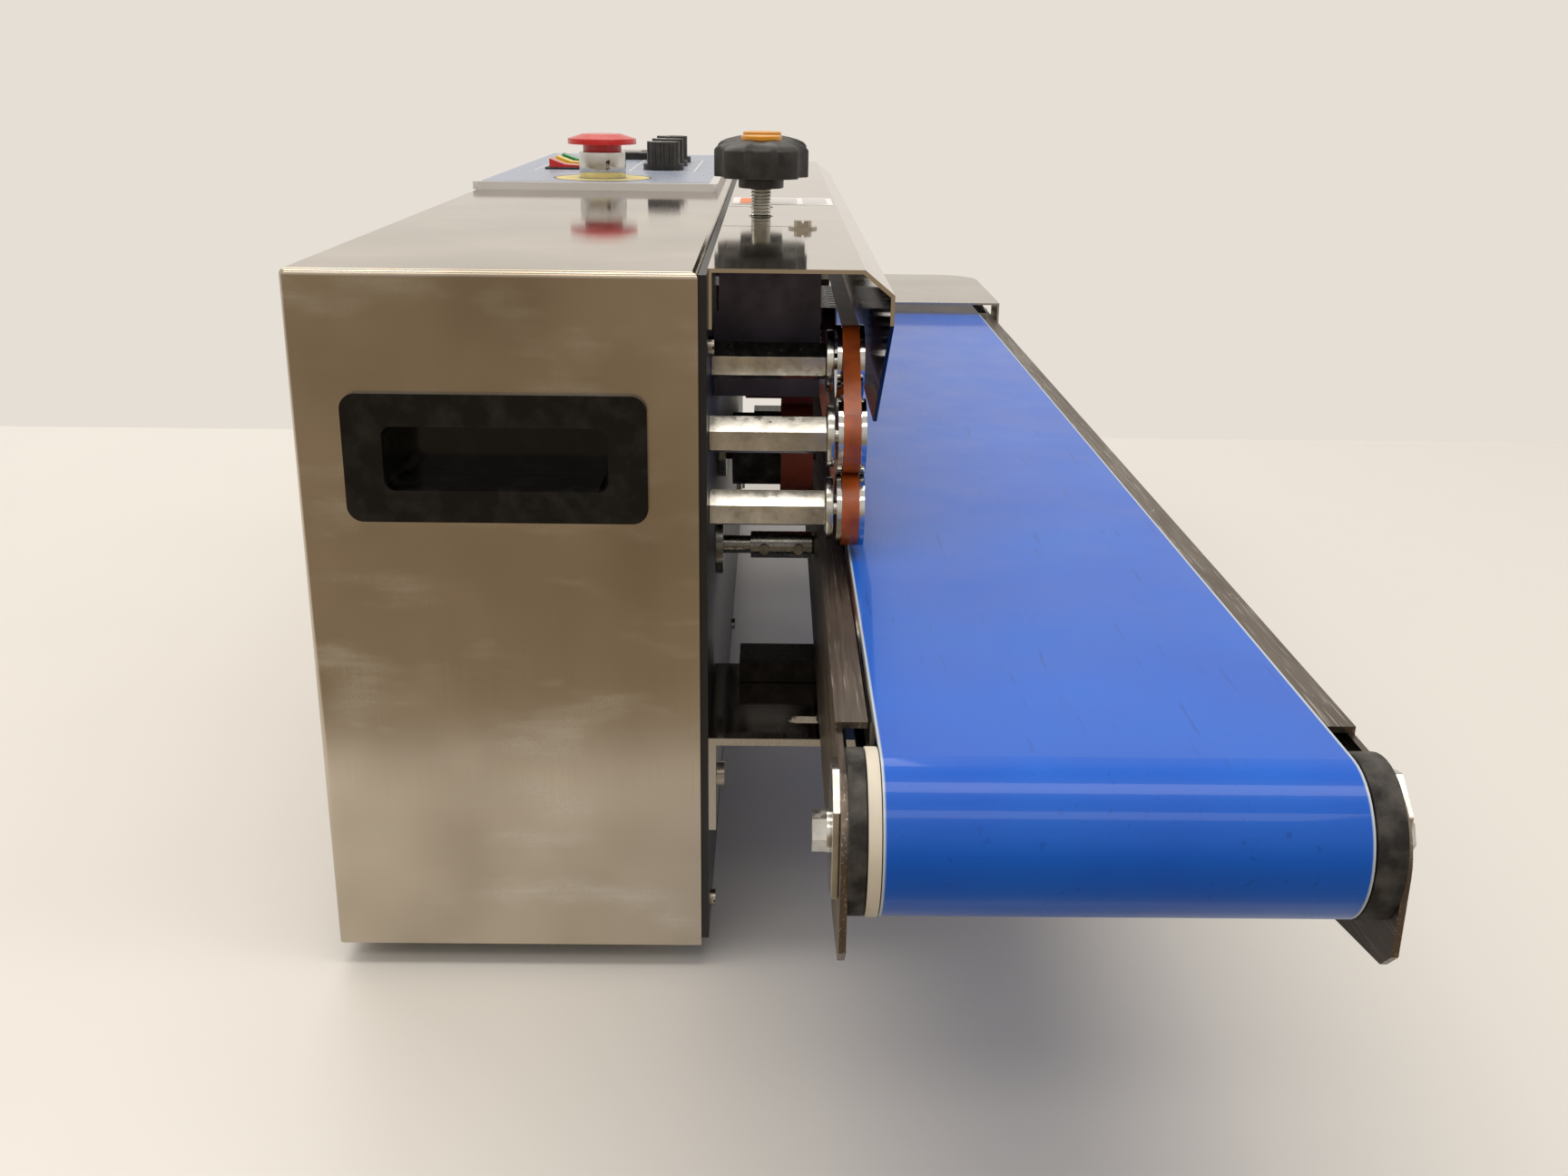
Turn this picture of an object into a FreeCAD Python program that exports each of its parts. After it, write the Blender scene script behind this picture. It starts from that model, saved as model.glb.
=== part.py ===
"""Continuous band sealer: a sealing head on the front of a steel casing, and a belt conveyor beside it.

Millimetres. While the pieces are made, X runs along the machine from the casing's outfeed end, Y from the
front panel's back face to the casing's back, and Z up from the table. At the end every piece is moved so that
the origin is on the table, in the middle of the whole machine's footprint.
"""
import FreeCAD, Part
import math
import os

V = FreeCAD.Vector

# ---- casing
foot_height = 10.0
foot_radius = 10.0
foot_inset = 14.0
case_length = 700.0
case_depth = 148.0
case_height = 272.0
cover_sheet = 1.5
cover_fold = 2.5
cover_flange = 12.0
base_sheet = 2.0
panel_sheet = 3.0
panel_inset = 1.0
# ---- carrying handles, let into both ends
handle_length = 111.0
handle_height = 48.0
handle_corner = 6.0
handle_flange = 2.5
pocket_length = 82.0
pocket_height = 24.0
pocket_depth = 26.0
pocket_wall = 2.0
handle_centre_y = 74.0
handle_below_top = 68.0
inlet_x = 640.0
inlet_z = 60.0
# ---- control plate on the casing's top
plate_start_x = 372.0
plate_length = 316.0
plate_thick = 4.5
plate_inset = 6.0
plate_overhang = 1.0
estop_x = 412.0
estop_y = 77.0
estop_collar_radius = 14.0
estop_collar_height = 15.5
estop_head_radius = 20.5
estop_disc_thick = 3.2
estop_dome = 2.6
estop_neck_show = 4.6
estop_neck_radius = 11.5
estop_travel = 4.0
rocker_y = 110.0
rocker_first_x = 495.0
rocker_pitch = 32.0
rocker_length = 20.0
rocker_rise = 7.0
rocker_low = 1.6
rocker_width = 14.0
rocker_swing = 20.0
rocker_pin_radius = 1.2
rocker_pin_show = 0.4
dial_y = 46.0
dial_first_x = 498.0
dial_pitch = 45.0
dial_radius = 13.3
dial_height = 18.0
controller_x = 632.0
controller_y = 74.0
controller_size = 48.0
controller_depth = 44.0
# ---- guard over the sealing head
guard_start_x = 12.0
guard_sheet = 1.5
guard_top_depth = 60.0
guard_front_y = 71.0
guard_chamfer = 9.0
guard_lip_z = 210.0
guard_cut_back = 75.0
guard_lip_shoulder_z = 262.0
guard_flange = 22.0
bulkhead_x = 72.0
bulkhead_sheet = 2.0
bulkhead_reach = 46.0
# ---- bands, their pulleys and drive
nip_z = 205.0
band_gap = 0.4
band_radius = 14.1
band_thick = 0.8
band_width = 6.5
band_centre_y = -56.7
pulley_width = 10.5
pulley_flange = 1.6
running_gap = 0.3
idler_x = 20.0
return_idler_x = 45.0
return_idler_rise = 23.7
far_wheel_x = 605.0
post_flats = 13.0
post_turn = -20.0
post_length = 44.5
stud_radius = 3.0
post_collar_radius = 12.0
post_collar_thick = 2.8
pulley_nut_flats = 8.0
pulley_nut_thick = 2.0
pulley_recess_radius = 6.0
shaft_radius = 5.0
shaft_gap = 0.05
gear_teeth = 20
gear_width = 8.0
gear_y = 14.0
gear_backlash = 0.8
sprocket_width = 3.0
lower_sprocket_radius = 12.0
chain_thick = 2.0
chain_y = 30.0
timing_pulley_y = 36.0
# ---- print wheel and the two press units
print_wheel_x = 145.0
print_wheel_radius = 21.0
print_wheel_width = 14.5
print_drum_radius = 16.5
print_drum_width = 22.0
print_wheel_y = -45.5
press_gap = 0.3
press_left_x = 222.0
press_right_x = 272.0
press_screw_y = -20.5
press_screw_radius = 5.0
press_thread_pitch = 1.5
press_travel = 3.0
press_wheel_left_radius = 15.0
press_hub_radius = 12.5
yoke_arm_back = 6.0
press_wheel_right_radius = 12.0
star_radius = 23.0
star_height = 20.0
star_hub_radius = 11.0
star_hub_height = 4.5
star_stand = 14.5
star_lobes = 5
star_hollow_radius = 12.0
star_hollow_depth = 4.3
# ---- heating and cooling blocks
heater_start_x = 420.0
heater_length = 130.0
cooler_start_x = 300.0
cooler_length = 90.0
block_depth = 11.0
block_height = 20.0
block_gap = 0.3
# ---- conveyor
roller_axis_z = 150.0
belt_thick = 2.0
roller_radius = 20.8
near_roller_x = -165.0
far_roller_x = 690.0
belt_edge_y = -57.0
belt_width = 130.0
drive_roller_x = 104.0
drive_shaft_radius = 4.0
coupling_radius = 6.0
rail_sheet = 2.0
rail_top_z = 170.5
rail_bottom_z = 112.0
fin_top_z = 168.0
fin_nose_x = -186.0
fin_start_x = -137.0
fin_corner = 20.0
rail_flange = 9.5
rail_end_x = 706.0
side_gap = 11.0
cap_radius = 23.4
cap_width = 3.6
cap_hub = 1.3
disc_radius = 23.2
end_plate_start_x = 635.0
end_plate_length = 170.0
end_plate_rise = 9.0
end_plate_corner = 32.0
bar_width = 20.0
bar_height = 10.0
near_bracket_x = 0.0
far_bracket_x = 500.0
bracket_length = 58.0
bracket_sheet = 3.0
bracket_reach = 84.0
slot_width = 6.7
conveyor_travel = 20.0

# ---- values worked out from the sizes above
case_top = foot_height + case_height
panel_front = -panel_sheet
band_seat = band_radius - band_thick
upper_axis_z = nip_z + band_gap / 2 + band_radius
lower_axis_z = nip_z - band_gap / 2 - band_radius
return_axis_z = upper_axis_z + return_idler_rise
pulley_front_y = band_centre_y - pulley_width / 2
pulley_back_y = band_centre_y + pulley_width / 2
plate_top = case_top + plate_thick
belt_inner = roller_radius + running_gap
belt_outer = belt_inner + belt_thick
belt_top_z = roller_axis_z + belt_outer
rail_left_y = belt_edge_y + side_gap
rail_right_y = belt_edge_y - belt_width - side_gap
conveyor_mid_y = belt_edge_y - belt_width / 2
print_axis_z = nip_z - press_gap / 2 - print_wheel_radius
press_left_axis_z = nip_z + press_gap / 2 + press_wheel_left_radius
press_right_axis_z = nip_z + band_gap / 2 + band_thick + running_gap + press_wheel_right_radius
belt_drive_ratio = (band_radius - band_thick / 2) / (roller_radius + belt_thick / 2)
print_drive_ratio = band_radius / print_wheel_radius


# ---- shapes
def block(x0, x1, y0, y1, z0, z1):
    lo = V(min(x0, x1), min(y0, y1), min(z0, z1))
    return Part.makeBox(abs(x1 - x0), abs(y1 - y0), abs(z1 - z0), lo)


def along_y(x, z, radius, y0, y1, bore=0.0):
    """A cylinder or tube whose axis runs along Y."""
    rod = Part.makeCylinder(radius, abs(y1 - y0), V(x, min(y0, y1), z), V(0, 1, 0))
    if bore:
        rod = rod.cut(Part.makeCylinder(bore, abs(y1 - y0), V(x, min(y0, y1), z), V(0, 1, 0)))
    return rod


def along_z(x, y, radius, z0, z1):
    return Part.makeCylinder(radius, z1 - z0, V(x, y, z0))


def along_x(y, z, radius, x0, x1):
    return Part.makeCylinder(radius, x1 - x0, V(x0, y, z), V(1, 0, 0))


def prism(points, direction):
    """A closed outline of (x, y, z) points pushed along a direction."""
    corners = [V(*p) for p in points]
    return Part.Face(Part.makePolygon(corners + corners[:1])).extrude(V(*direction))


def rounded(shape, radius, picks):
    """Fillets the edges that picks(edge's middle, edge's direction) accepts."""
    chosen = []
    for edge in shape.Edges:
        if isinstance(edge.Curve, Part.Line) or edge.Curve.TypeId == "Part::GeomLine":
            way = edge.Curve.Direction
            if picks(edge.CenterOfMass, way):
                chosen.append(edge)
    return shape.makeFillet(radius, chosen)


def hexagon_along_y(x, z, flats, y0, y1, turn=0.0):
    ring = [math.radians(60 * i + turn) for i in range(6)]
    reach = flats / math.sqrt(3)
    points = [(x + reach * math.cos(a), y0, z + reach * math.sin(a)) for a in ring]
    return prism(points, (0, y1 - y0, 0))


def hexagon_along_z(x, y, flats, z0, z1):
    ring = [math.radians(60 * i) for i in range(6)]
    reach = flats / math.sqrt(3)
    points = [(x + reach * math.cos(a), y + reach * math.sin(a), z0) for a in ring]
    return prism(points, (0, 0, z1 - z0))


def loop_face(centres, radius, y):
    """The area inside a tight loop round equal wheels, in the plane at that Y. Centres go round in order."""
    edges = []
    count = len(centres)
    for i in range(count):
        before, here, after = centres[i - 1], centres[i], centres[(i + 1) % count]
        way_in = math.atan2(here[1] - before[1], here[0] - before[0])
        way_out = math.atan2(after[1] - here[1], after[0] - here[0])
        turn = (way_out - way_in) % (2 * math.pi)
        start = way_in - math.pi / 2
        spots = [start, start + turn / 2, start + turn]
        arc = [V(here[0] + radius * math.cos(a), y, here[1] + radius * math.sin(a)) for a in spots]
        edges.append(Part.Arc(*arc).toShape())
    joined = []
    for i in range(count):
        joined.append(edges[i])
        tail = edges[i].Vertexes[-1].Point
        head = edges[(i + 1) % count].Vertexes[0].Point
        joined.append(Part.LineSegment(tail, head).toShape())
    return Part.Face(Part.Wire(joined))


def loop_band(centres, inner, outer, y0, y1):
    span = V(0, y1 - y0, 0)
    return loop_face(centres, outer, y0).extrude(span).cut(loop_face(centres, inner, y0).extrude(span))


def group(solids):
    return Part.makeCompound(solids)


def pan_head_y(x, z, y, radius=3.5, height=2.2):
    """A pan-head screw whose head stands out of a face at y, towards -Y."""
    head = along_y(x, z, radius, y - height, y)
    return head.cut(block(x - radius, x + radius, y - height, y - height + 0.8, z - 0.4, z + 0.4))


# ---- casing
def base_plate():
    inset = cover_sheet
    return block(inset, case_length - inset, 0, case_depth - inset, foot_height, foot_height + base_sheet)


def handle_cut(end_x):
    half_l = pocket_length / 2 + pocket_wall
    half_h = pocket_height / 2 + pocket_wall
    z = case_top - handle_below_top
    return block(end_x - 5, end_x + 5, handle_centre_y - half_l, handle_centre_y + half_l, z - half_h, z + half_h)


def inlet_box(y0, y1, grow=0.0):
    half_w, half_h = 14.0 + grow, 10.0 + grow
    return block(inlet_x - half_w, inlet_x + half_w, y0, y1, inlet_z - half_h, inlet_z + half_h)


def casing_cover():
    outer = block(0, case_length, 0, case_depth, foot_height, case_top)
    outer = rounded(outer, cover_fold, lambda m, w: m.z > case_top - 1 or (abs(w.z) > 0.9 and m.y > case_depth - 1))
    s = cover_sheet
    inner = block(s, case_length - s, s, case_depth - s, foot_height - 1, case_top - s)
    mouth = block(cover_flange, case_length - cover_flange, -1, s + 1, foot_height - 1, case_top - cover_flange)
    shell = outer.cut(inner).cut(mouth)
    below_base = block(s, case_length - s, -1, s + 1, foot_height - 1, foot_height + base_sheet)
    shell = shell.cut(below_base)
    for x in (0, case_length):
        shell = shell.cut(handle_cut(x))
    shell = shell.cut(inlet_box(case_depth - 5, case_depth + 5))
    half = controller_size / 2 - 2
    shell = shell.cut(block(controller_x - half, controller_x + half, controller_y - half, controller_y + half,
                            case_top - 5, case_top + 1))
    shell = shell.cut(along_z(estop_x, estop_y, estop_neck_radius + 0.5, case_top - 5, case_top + 1))
    return shell


def shaft_places():
    """Where shafts pass through the front panel, and the hole each one gets."""
    return [
        (far_wheel_x, lower_axis_z, 11.0),
        (far_wheel_x, upper_axis_z, 11.0),
        (print_wheel_x, print_axis_z, 11.0),
        (drive_roller_x, roller_axis_z, 11.0),
    ]


def front_panel():
    p = panel_inset
    panel = block(p, case_length - p, panel_front, 0, foot_height + 3 * p, case_top - p)
    for x, z, radius in shaft_places():
        panel = panel.cut(along_y(x, z, radius, panel_front - 1, 1))
    return panel


def flush_handles():
    z = case_top - handle_below_top
    solids = []
    for x, way in ((0.0, -1.0), (case_length, 1.0)):
        half_l, half_h = handle_length / 2, handle_height / 2
        face = block(x, x + way * handle_flange, handle_centre_y - half_l, handle_centre_y + half_l, z - half_h, z + half_h)
        face = rounded(face, handle_corner, lambda m, w: abs(w.x) > 0.9)
        w = pocket_wall
        cup = block(x, x - way * (pocket_depth + w), handle_centre_y - pocket_length / 2 - w,
                    handle_centre_y + pocket_length / 2 + w, z - pocket_height / 2 - w, z + pocket_height / 2 + w)
        hollow = block(x + way * 10, x - way * pocket_depth, handle_centre_y - pocket_length / 2,
                       handle_centre_y + pocket_length / 2, z - pocket_height / 2, z + pocket_height / 2)
        hollow = rounded(hollow, 4.0, lambda m, w: abs(w.x) > 0.9)
        solids.append(face.fuse(cup).cut(hollow).removeSplitter())
    return group(solids)


def rocker_x(index):
    return rocker_first_x + rocker_pitch * index


def dial_x(index):
    return dial_first_x + dial_pitch * index


def control_plate():
    o = plate_overhang
    plate = block(plate_start_x, plate_start_x + plate_length, plate_inset, case_depth + o, case_top, plate_top)
    plate = rounded(plate, 3.0, lambda m, w: abs(w.z) > 0.9)
    plate = plate.cut(along_z(estop_x, estop_y, estop_neck_radius + 0.5, case_top - 1, plate_top + 1))
    for i in range(3):
        plate = plate.cut(rocker_window(i, 0.5, case_top - 1, plate_top + 1))
    half = controller_size / 2 - 2
    return plate.cut(block(controller_x - half, controller_x + half, controller_y - half, controller_y + half,
                           case_top - 1, plate_top + 1))


def estop_collar():
    top = plate_top + estop_collar_height
    collar = along_z(estop_x, estop_y, estop_collar_radius, plate_top, top)
    return collar.cut(along_z(estop_x, estop_y, estop_neck_radius + 0.5, plate_top - 1, top + 1))


def plunger_top():
    return plate_top + estop_collar_height - 1.0


def estop_plunger():
    return along_z(estop_x, estop_y, estop_neck_radius, plate_top - 16.0, plunger_top())


def estop_head():
    z = plate_top + estop_collar_height + estop_neck_show
    disc = along_z(estop_x, estop_y, estop_head_radius, z, z + estop_disc_thick)
    dome = Part.makeCone(estop_head_radius - 0.5, 12.0, estop_dome, V(estop_x, estop_y, z + estop_disc_thick))
    neck = along_z(estop_x, estop_y, estop_neck_radius, plunger_top() + running_gap, z)
    return disc.fuse(dome).fuse(neck).removeSplitter()


def rocker_window(index, grow, z0, z1):
    x, l, w = rocker_x(index), rocker_length / 2 + grow, rocker_width / 2 + grow
    return block(x - w, x + w, rocker_y - l, rocker_y + l, z0, z1)


def switch_bezels():
    solids = []
    for i in range(3):
        rim = rocker_window(i, 2.5, plate_top, plate_top + rocker_low)
        solids.append(rim.cut(rocker_window(i, 0.5, plate_top - 1, plate_top + 3)))
    return group(solids)


def rocker(index):
    x, l, w = rocker_x(index), rocker_length / 2, rocker_width / 2 - 0.2
    low, rise = rocker_low, rocker_rise
    outline = [(l, low), (-l, low), (-l, low + 1.2), (0, low + 1.8), (l, rise)]
    points = [(x - w, rocker_y + py, plate_top + pz) for py, pz in outline]
    trunnion = along_x(rocker_y, rocker_pivot_z(), rocker_pin_radius, x - w - rocker_pin_show, x + w + rocker_pin_show)
    return prism(points, (2 * w, 0, 0)).fuse(trunnion)


def rocker_pivot_z():
    return plate_top + 2.0


def dial(index):
    x = dial_x(index)
    skirt = along_z(x, dial_y, dial_radius, plate_top + running_gap, plate_top + 4.0)
    grip = along_z(x, dial_y, dial_radius - 2.5, plate_top + 4.0, plate_top + dial_height)
    flutes = []
    for i in range(12):
        a = math.radians(30 * i)
        reach = dial_radius - 1.9
        flutes.append(along_z(x + reach * math.cos(a), dial_y + reach * math.sin(a), 1.6, plate_top + 4.0,
                              plate_top + dial_height + 1))
    return skirt.fuse(grip.cut(group(flutes))).removeSplitter()


def temperature_controller():
    half = controller_size / 2
    bezel = block(controller_x - half, controller_x + half, controller_y - half, controller_y + half,
                  plate_top, plate_top + 5.0)
    bezel = rounded(bezel, 2.0, lambda m, w: abs(w.z) > 0.9)
    body = block(controller_x - half + 2.2, controller_x + half - 2.2, controller_y - half + 2.2,
                 controller_y + half - 2.2, plate_top - controller_depth, plate_top)
    return bezel.fuse(body).removeSplitter()


def guard():
    """One folded sheet: a flange on the panel, the top, a chamfer and a front lip cut back at the outfeed end."""
    s = guard_sheet
    depth = guard_top_depth
    outside = [(panel_front, case_top - guard_flange), (panel_front, case_top), (-depth, case_top),
               (-guard_front_y, case_top - guard_chamfer), (-guard_front_y, guard_lip_z)]
    inside = [(-guard_front_y + s, guard_lip_z), (-guard_front_y + s, case_top - guard_chamfer - s / 2),
              (-depth + s / 2, case_top - s), (panel_front - s, case_top - s), (panel_front - s, case_top - guard_flange)]
    points = [(guard_start_x, y, z) for y, z in outside + inside]
    sheet = prism(points, (case_length - guard_start_x, 0, 0))
    x = guard_start_x
    corner = [(x - 1, -80, guard_lip_shoulder_z), (x, -80, guard_lip_shoulder_z),
              (x + guard_cut_back, -80, guard_lip_z), (x + guard_cut_back, -80, guard_lip_z - 5),
              (x - 1, -80, guard_lip_z - 5)]
    sheet = sheet.cut(prism(corner, (0, 20, 0)))
    for screw_x in (press_left_x, press_right_x):
        sheet = sheet.cut(along_z(screw_x, press_screw_y, press_screw_radius + 1.0, case_top - 5, case_top + 5))
    return sheet


def casing_screws():
    top_screws = [(163.0, -40.0), (600.0, -40.0)]
    solids = []
    for x in (18.0, 350.0, case_length - 12.0):
        solids.append(pan_head_y(x, case_top - 29.0, panel_front))
        solids.append(pan_head_y(x, foot_height + 12.0, panel_front))
    for x, y in top_screws:
        head = along_z(x, y, 4.0, case_top + 1.0, case_top + 3.6)
        washer = along_z(x, y, 6.5, case_top, case_top + 1.0)
        solids.append(head.cut(block(x - 4, x + 4, y - 0.5, y + 0.5, case_top + 2.6, case_top + 4)).fuse(washer))
    return group(solids)


def rubber_feet():
    solids = []
    for x in (foot_inset + 20, case_length - foot_inset - 20):
        for y in (foot_inset - 2, case_depth - foot_inset):
            solids.append(Part.makeCone(foot_radius - 1, foot_radius, foot_height, V(x, y, 0)))
    return group(solids)


def power_inlet():
    flange = inlet_box(case_depth, case_depth + 2.0, 4.0)
    body = inlet_box(case_depth - 24.0, case_depth, -0.2)
    socket = block(inlet_x - 11, inlet_x + 11, case_depth - 16, case_depth + 3, inlet_z - 7, inlet_z + 7)
    inlet = flange.fuse(body).cut(socket)
    for i in (-1, 0, 1):
        blade_x = inlet_x + 6.5 * i
        inlet = inlet.fuse(block(blade_x - 1, blade_x + 1, case_depth - 17, case_depth - 4, inlet_z - 2, inlet_z + 2))
    return inlet.removeSplitter()


def gear_motor():
    gearbox = block(far_wheel_x - 30, far_wheel_x + 30, 38, 74, lower_axis_z - 34, lower_axis_z + 26)
    motor = along_y(far_wheel_x, lower_axis_z, 30, 74, 138)
    nose = along_y(far_wheel_x, lower_axis_z, 9, 34.5, 38)
    return gearbox.fuse(motor).fuse(nose).removeSplitter()


def power_board():
    """A circuit board on four pillars, with the transformer beside it on the base plate."""
    floor = foot_height + base_sheet
    board = block(240, 420, 60, 140, floor + 12, floor + 13.6)
    pillars = [along_z(x, y, 3, floor, floor + 12) for x in (248, 412) for y in (68, 132)]
    core = block(460, 540, 78, 140, floor, floor + 66)
    winding = block(474, 526, 70, 144, floor + 12, floor + 54)
    return group([board] + pillars + [core.fuse(winding).removeSplitter()])


# ---- sealing head
def post_places():
    return [(idler_x, upper_axis_z), (idler_x, lower_axis_z), (return_idler_x, return_axis_z),
            (far_wheel_x - (return_idler_x - idler_x), return_axis_z)]


def hex_posts():
    """Each post is a hexagon bar, with a collar and a stud that carries the pulley and ends in a sunk nut."""
    solids = []
    shoulder = panel_front - post_length
    for x, z in post_places():
        bar = hexagon_along_y(x, z, post_flats, panel_front, shoulder, post_turn)
        nut_y = pulley_front_y + running_gap
        stud = along_y(x, z, stud_radius, shoulder, nut_y)
        solids.append(bar.fuse(stud))
        solids.append(along_y(x, z, post_collar_radius, shoulder, shoulder - post_collar_thick, stud_radius))
        nut = hexagon_along_y(x, z, pulley_nut_flats, nut_y, nut_y + pulley_nut_thick)
        solids.append(nut.cut(along_y(x, z, stud_radius, nut_y - 1, nut_y + pulley_nut_thick + 1)))
    return group(solids)


def pulley(x, z, bore):
    wheel = along_y(x, z, band_radius, pulley_front_y, pulley_back_y)
    seat_half = band_width / 2 + running_gap
    groove = along_y(x, z, band_radius + 1, band_centre_y - seat_half, band_centre_y + seat_half,
                     band_seat - running_gap)
    return wheel.cut(groove).cut(along_y(x, z, bore, pulley_front_y - 1, pulley_back_y + 1))


def idler_pulley(place):
    x, z = post_places()[place]
    floor = pulley_front_y + pulley_nut_thick + 2 * running_gap
    recess = along_y(x, z, pulley_recess_radius, pulley_front_y - 1, floor)
    return pulley(x, z, stud_radius + shaft_gap).cut(recess)


def gear(x, z, turned):
    """A spur gear in mesh with its twin across the nip. turned is the share of a tooth that it starts at."""
    pitch_radius = (upper_axis_z - lower_axis_z) / 2
    module = 2 * pitch_radius / gear_teeth
    root, tip = pitch_radius - 1.25 * module, pitch_radius + 0.8 * module
    wheel = along_y(x, z, root, gear_y, gear_y + gear_width)
    teeth = []
    half_pitch = math.pi / gear_teeth
    for i in range(gear_teeth):
        middle = 2 * half_pitch * (i + turned) + math.pi / 2
        corners = []
        for radius, half_tooth in ((root - 0.3, 0.72), (pitch_radius, 0.5), (tip, 0.22)):
            half = half_tooth * half_pitch - gear_backlash / 4 / radius
            corners.append((radius, half))
        outline = [(r, -h) for r, h in corners] + [(r, h) for r, h in reversed(corners)]
        points = [(x + r * math.cos(middle + a), gear_y, z + r * math.sin(middle + a)) for r, a in outline]
        teeth.append(prism(points, (0, gear_width, 0)))
    return wheel.multiFuse(teeth)


def sprocket(x, z, radius):
    return along_y(x, z, radius, chain_y - sprocket_width / 2, chain_y + sprocket_width / 2)


def drive_wheel(z, shaft_end_y, turned):
    """A band's drive wheel, turned in one piece with its shaft and the gear at the shaft's inner end."""
    rod = along_y(far_wheel_x, z, shaft_radius, pulley_front_y - 2, shaft_end_y)
    wheel = pulley(far_wheel_x, z, shaft_radius)
    return rod.fuse(wheel).fuse(gear(far_wheel_x, z, turned))


def lower_drive_wheel():
    wheel = drive_wheel(lower_axis_z, chain_y + 4, 0.0)
    return wheel.fuse(sprocket(far_wheel_x, lower_axis_z, lower_sprocket_radius)).removeSplitter()


def upper_drive_wheel():
    return drive_wheel(upper_axis_z, gear_y + gear_width + 2, 0.5).removeSplitter()


def shaft_bearings():
    """Flanged bushes in the front panel, one for each shaft that comes out of the casing."""
    radii = [shaft_radius, shaft_radius, shaft_radius, drive_shaft_radius]
    solids = []
    for (x, z, hole), radius in zip(shaft_places(), radii):
        bush = along_y(x, z, hole, panel_front, 0).fuse(along_y(x, z, hole + 2.0, panel_front - 3.0, panel_front))
        solids.append(bush.cut(along_y(x, z, radius + shaft_gap, panel_front - 4, 1)).removeSplitter())
    return group(solids)


def band_y():
    return band_centre_y - band_width / 2, band_centre_y + band_width / 2


def upper_band():
    centres = [(idler_x, upper_axis_z), (far_wheel_x, upper_axis_z),
               (far_wheel_x - (return_idler_x - idler_x), return_axis_z), (return_idler_x, return_axis_z)]
    return loop_band(centres, band_seat, band_radius, *band_y())


def lower_band():
    centres = [(idler_x, lower_axis_z), (far_wheel_x, lower_axis_z)]
    return loop_band(centres, band_seat, band_radius, *band_y())


def block_pair(start_x, length, fins):
    """Upper and lower blocks inside the two band loops, each on a pair of studs from the panel."""
    y0 = band_centre_y - block_depth / 2
    inner_gap = band_gap / 2 + band_thick + block_gap
    solids = []
    for way in (1, -1):
        face_z = nip_z + way * inner_gap
        height = block_height if way > 0 else 2 * band_seat - 2 * block_gap - 6.0
        bar = block(start_x, start_x + length, y0, y0 + block_depth, face_z, face_z + way * height)
        for i in range(fins):
            slot_x = start_x + length * (i + 0.5) / fins
            bar = bar.cut(block(slot_x - 1.2, slot_x + 1.2, y0 - 1, y0 + 4, face_z + way * 3, face_z + way * 40))
        stud_z = face_z + way * height / 2
        for x in (start_x + 12, start_x + length - 12):
            bar = bar.fuse(along_y(x, stud_z, 4.0, y0 + block_depth, panel_front))
        solids.append(bar.removeSplitter())
    return group(solids)


def bulkhead():
    """A bent grey plate behind the outfeed pulleys."""
    x, s = bulkhead_x, bulkhead_sheet
    low = upper_axis_z + 4.0
    plate = block(x, x + s, panel_front - s, -bulkhead_reach, low, case_top - guard_sheet - 2.0)
    foot = block(x, x + 14.0, panel_front, panel_front - s, low, case_top - guard_flange - 2.0)
    return plate.fuse(foot).removeSplitter()


def print_wheel():
    y = print_wheel_y
    return along_y(print_wheel_x, print_axis_z, print_wheel_radius, y, y + print_wheel_width, shaft_radius)


def print_drum():
    y = print_wheel_y + print_wheel_width
    drum = along_y(print_wheel_x, print_axis_z, print_drum_radius, y, y + print_drum_width)
    rod = along_y(print_wheel_x, print_axis_z, shaft_radius, print_wheel_y - 2.0, timing_pulley_y + 6.0)
    timing = along_y(print_wheel_x, print_axis_z, 9.0, timing_pulley_y, timing_pulley_y + 6.0)
    return drum.fuse(rod).fuse(timing).removeSplitter()


def conveyor_drive_shaft():
    rod = along_y(drive_roller_x, roller_axis_z, drive_shaft_radius, -44.0, chain_y + 4.0)
    return rod.fuse(sprocket(drive_roller_x, roller_axis_z, lower_sprocket_radius / belt_drive_ratio)).removeSplitter()


def drive_chain():
    """The chain's path: it goes round the outside of the motor's and the conveyor's sprockets."""
    small, large = lower_sprocket_radius, lower_sprocket_radius / belt_drive_ratio
    y0, y1 = chain_y - sprocket_width / 2 - 1, chain_y + sprocket_width / 2 + 1

    def loop(grow):
        ends = [(far_wheel_x, lower_axis_z, small + grow), (drive_roller_x, roller_axis_z, large + grow)]
        (xa, za, ra), (xb, zb, rb) = ends
        lean = math.atan2(zb - za, xb - xa)
        span = math.hypot(xb - xa, zb - za)
        opening = math.acos((ra - rb) / span)
        body = along_y(xa, za, ra, y0, y1).fuse(along_y(xb, zb, rb, y0, y1))
        outline = []
        for x, z, r, side in ((xa, za, ra, 1), (xb, zb, rb, 1), (xb, zb, rb, -1), (xa, za, ra, -1)):
            a = lean + side * opening
            outline.append((x + r * math.cos(a), y0, z + r * math.sin(a)))
        return body.fuse(prism(outline, (0, y1 - y0, 0)))

    return loop(running_gap + chain_thick).cut(loop(running_gap)).removeSplitter()


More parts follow.
